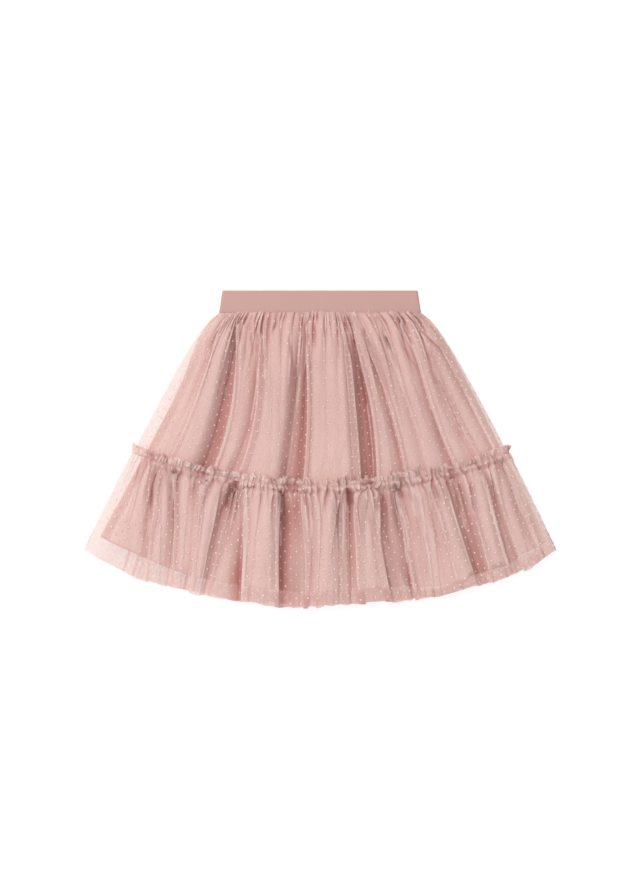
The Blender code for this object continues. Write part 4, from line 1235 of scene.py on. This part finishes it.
def dots_on(name, sheet, first, last, size):
    """All dots of a sheet as one mesh: a ring of corners round each place, one point above it and one
    below. Their sizes differ a little, and they are smaller where no lining lies behind the net on the
    left."""
    turns = int(round(sheet.whole / DOT_PITCH))
    pitch = sheet.whole / turns
    rows = np.arange(first, last, DOT_PITCH / 2)
    a, d = np.meshgrid(np.arange(turns) * pitch, rows)
    a = a + (np.arange(len(rows)) % 2)[:, None] * pitch / 2
    point, along, downwards, normal = on_cloth(sheet, a.reshape(-1), d.reshape(-1))
    widest = np.interp(d.reshape(-1), sheet.down, np.abs(sheet.points[..., 0]).max(axis=1))
    share = point[:, 0] / widest
    past_hem = point[:, 1] < down_y(np.interp(share, LINING_HEM_SHARES, LINING_HEM_LEVELS), share)
    bare = np.maximum(1 - eased((1 + share) / 0.07), past_hem * eased((-share - 0.3) / 0.2))
    radius = size * np.random.default_rng(len(point)).uniform(0.7, 1.15, len(point)) * (1 - 0.5 * bare)
    ring = point[:, None] + radius[:, None, None] * circle(DOT_SIDES, along, downwards)
    top_and_under = [(point + normal * lift)[:, None] for lift in (DOT_RISE, -DOT_SINK)]
    k = np.arange(DOT_SIDES)
    beside = (k + 1) % DOT_SIDES
    one = np.concatenate([np.stack([beside, k, np.full(DOT_SIDES, DOT_SIDES)], axis=-1),
                          np.stack([k, beside, np.full(DOT_SIDES, DOT_SIDES + 1)], axis=-1)])
    return copies(name, np.concatenate([ring, *top_and_under], axis=1), one, dot_finish)


tier_dots = dots_on("upper_tier_dots", tier_sheet, 4.0 * MM, tier_down[-1] - 8 * MM, 1.05 * MM)
ruffle_dots = dots_on("ruffle_dots", ruffle_sheet, 3.0 * MM, ruffle_down[-1] - 1.5 * MM, 1.2 * MM)

# %% Stitches
STITCH_SIDES = 6
STITCH_RINGS = np.array([  # place along the stitch, girth, rise over its place as a part of the radius
    (-0.5, 0.35, -0.4), (-0.36, 1.0, 0.3), (0.0, 1.0, 0.8), (0.36, 1.0, 0.3), (0.5, 0.35, -0.4)])
# From one stitch to the next, a stitch's length and its radius.
SEAM_PITCH, SEAM_STITCH, SEAM_RADIUS = 3.1 * MM, 2.3 * MM, 0.2 * MM
BAND_PITCH, BAND_STITCH, BAND_RADIUS = 2.9 * MM, 2.2 * MM, 0.16 * MM


def stitches(name, point, along, normal, length, radius):
    """A row of stitches as one mesh. Each is a short six-sided rod with pointed ends that bows up in
    its middle, made of five rings, the walls between them and two faces over each end."""
    hexagon = circle(STITCH_SIDES, np.cross(along, normal), normal)
    rings = [(point + place * length * along + rise * radius * normal)[:, None] + radius * girth * hexagon
             for place, girth, rise in STITCH_RINGS]
    i, k = grid_cells(len(STITCH_RINGS) - 1, STITCH_SIDES, upwards=True)
    first = np.array([[0, 5, 4, 3], [0, 3, 2, 1]])
    last = np.array([[0, 1, 2, 3], [0, 3, 4, 5]]) + (len(STITCH_RINGS) - 1) * STITCH_SIDES
    one = np.concatenate([i * STITCH_SIDES + k % STITCH_SIDES, first, last])
    return copies(name, np.concatenate(rings, axis=1), one, thread_finish)


seam_at = np.arange(0.0, ruffle_cut, SEAM_PITCH)
seam_down = np.full(len(seam_at), ruffle_down[HEADING_ROWS])
point, along, _, normal = on_cloth(ruffle_sheet, seam_at, seam_down)
seam_thread = stitches("ruffle_seam_thread", point + normal * 0.15 * MM, along, normal, SEAM_STITCH,
                       SEAM_RADIUS)

ring = loop_round(0.0, 0.12 * MM) + (0.0, SEAM_RISE, 0.0)
closed_ring = np.concatenate([ring, ring[:1]])
run = running(np.linalg.norm(np.diff(closed_ring, axis=0), axis=1))
at = np.arange(0.0, run[-1] - 2 * MM, BAND_PITCH)
point, ahead = [np.stack([np.interp(at + step, run, closed_ring[:, k]) for k in range(3)], axis=-1)
                for step in (0.0, 0.4 * MM)]
along = unit(ahead - point)
normal = np.stack([-along[:, 2], np.zeros(len(at)), along[:, 0]], axis=-1)
band_thread = stitches("waistband_thread", point, along, normal, BAND_STITCH, BAND_RADIUS)

# %% [markdown]
# ## Each sheet's cut
#
# Each tube is a piece of cloth that was cut flat. Its cut is the length round it and the length down it,
# with what is turned in. The lining is flared, so its area is that of a band between its two girths.

print("cuts", round(tier_cut, 3), round(ruffle_cut, 3), round(lining_cut, 3))
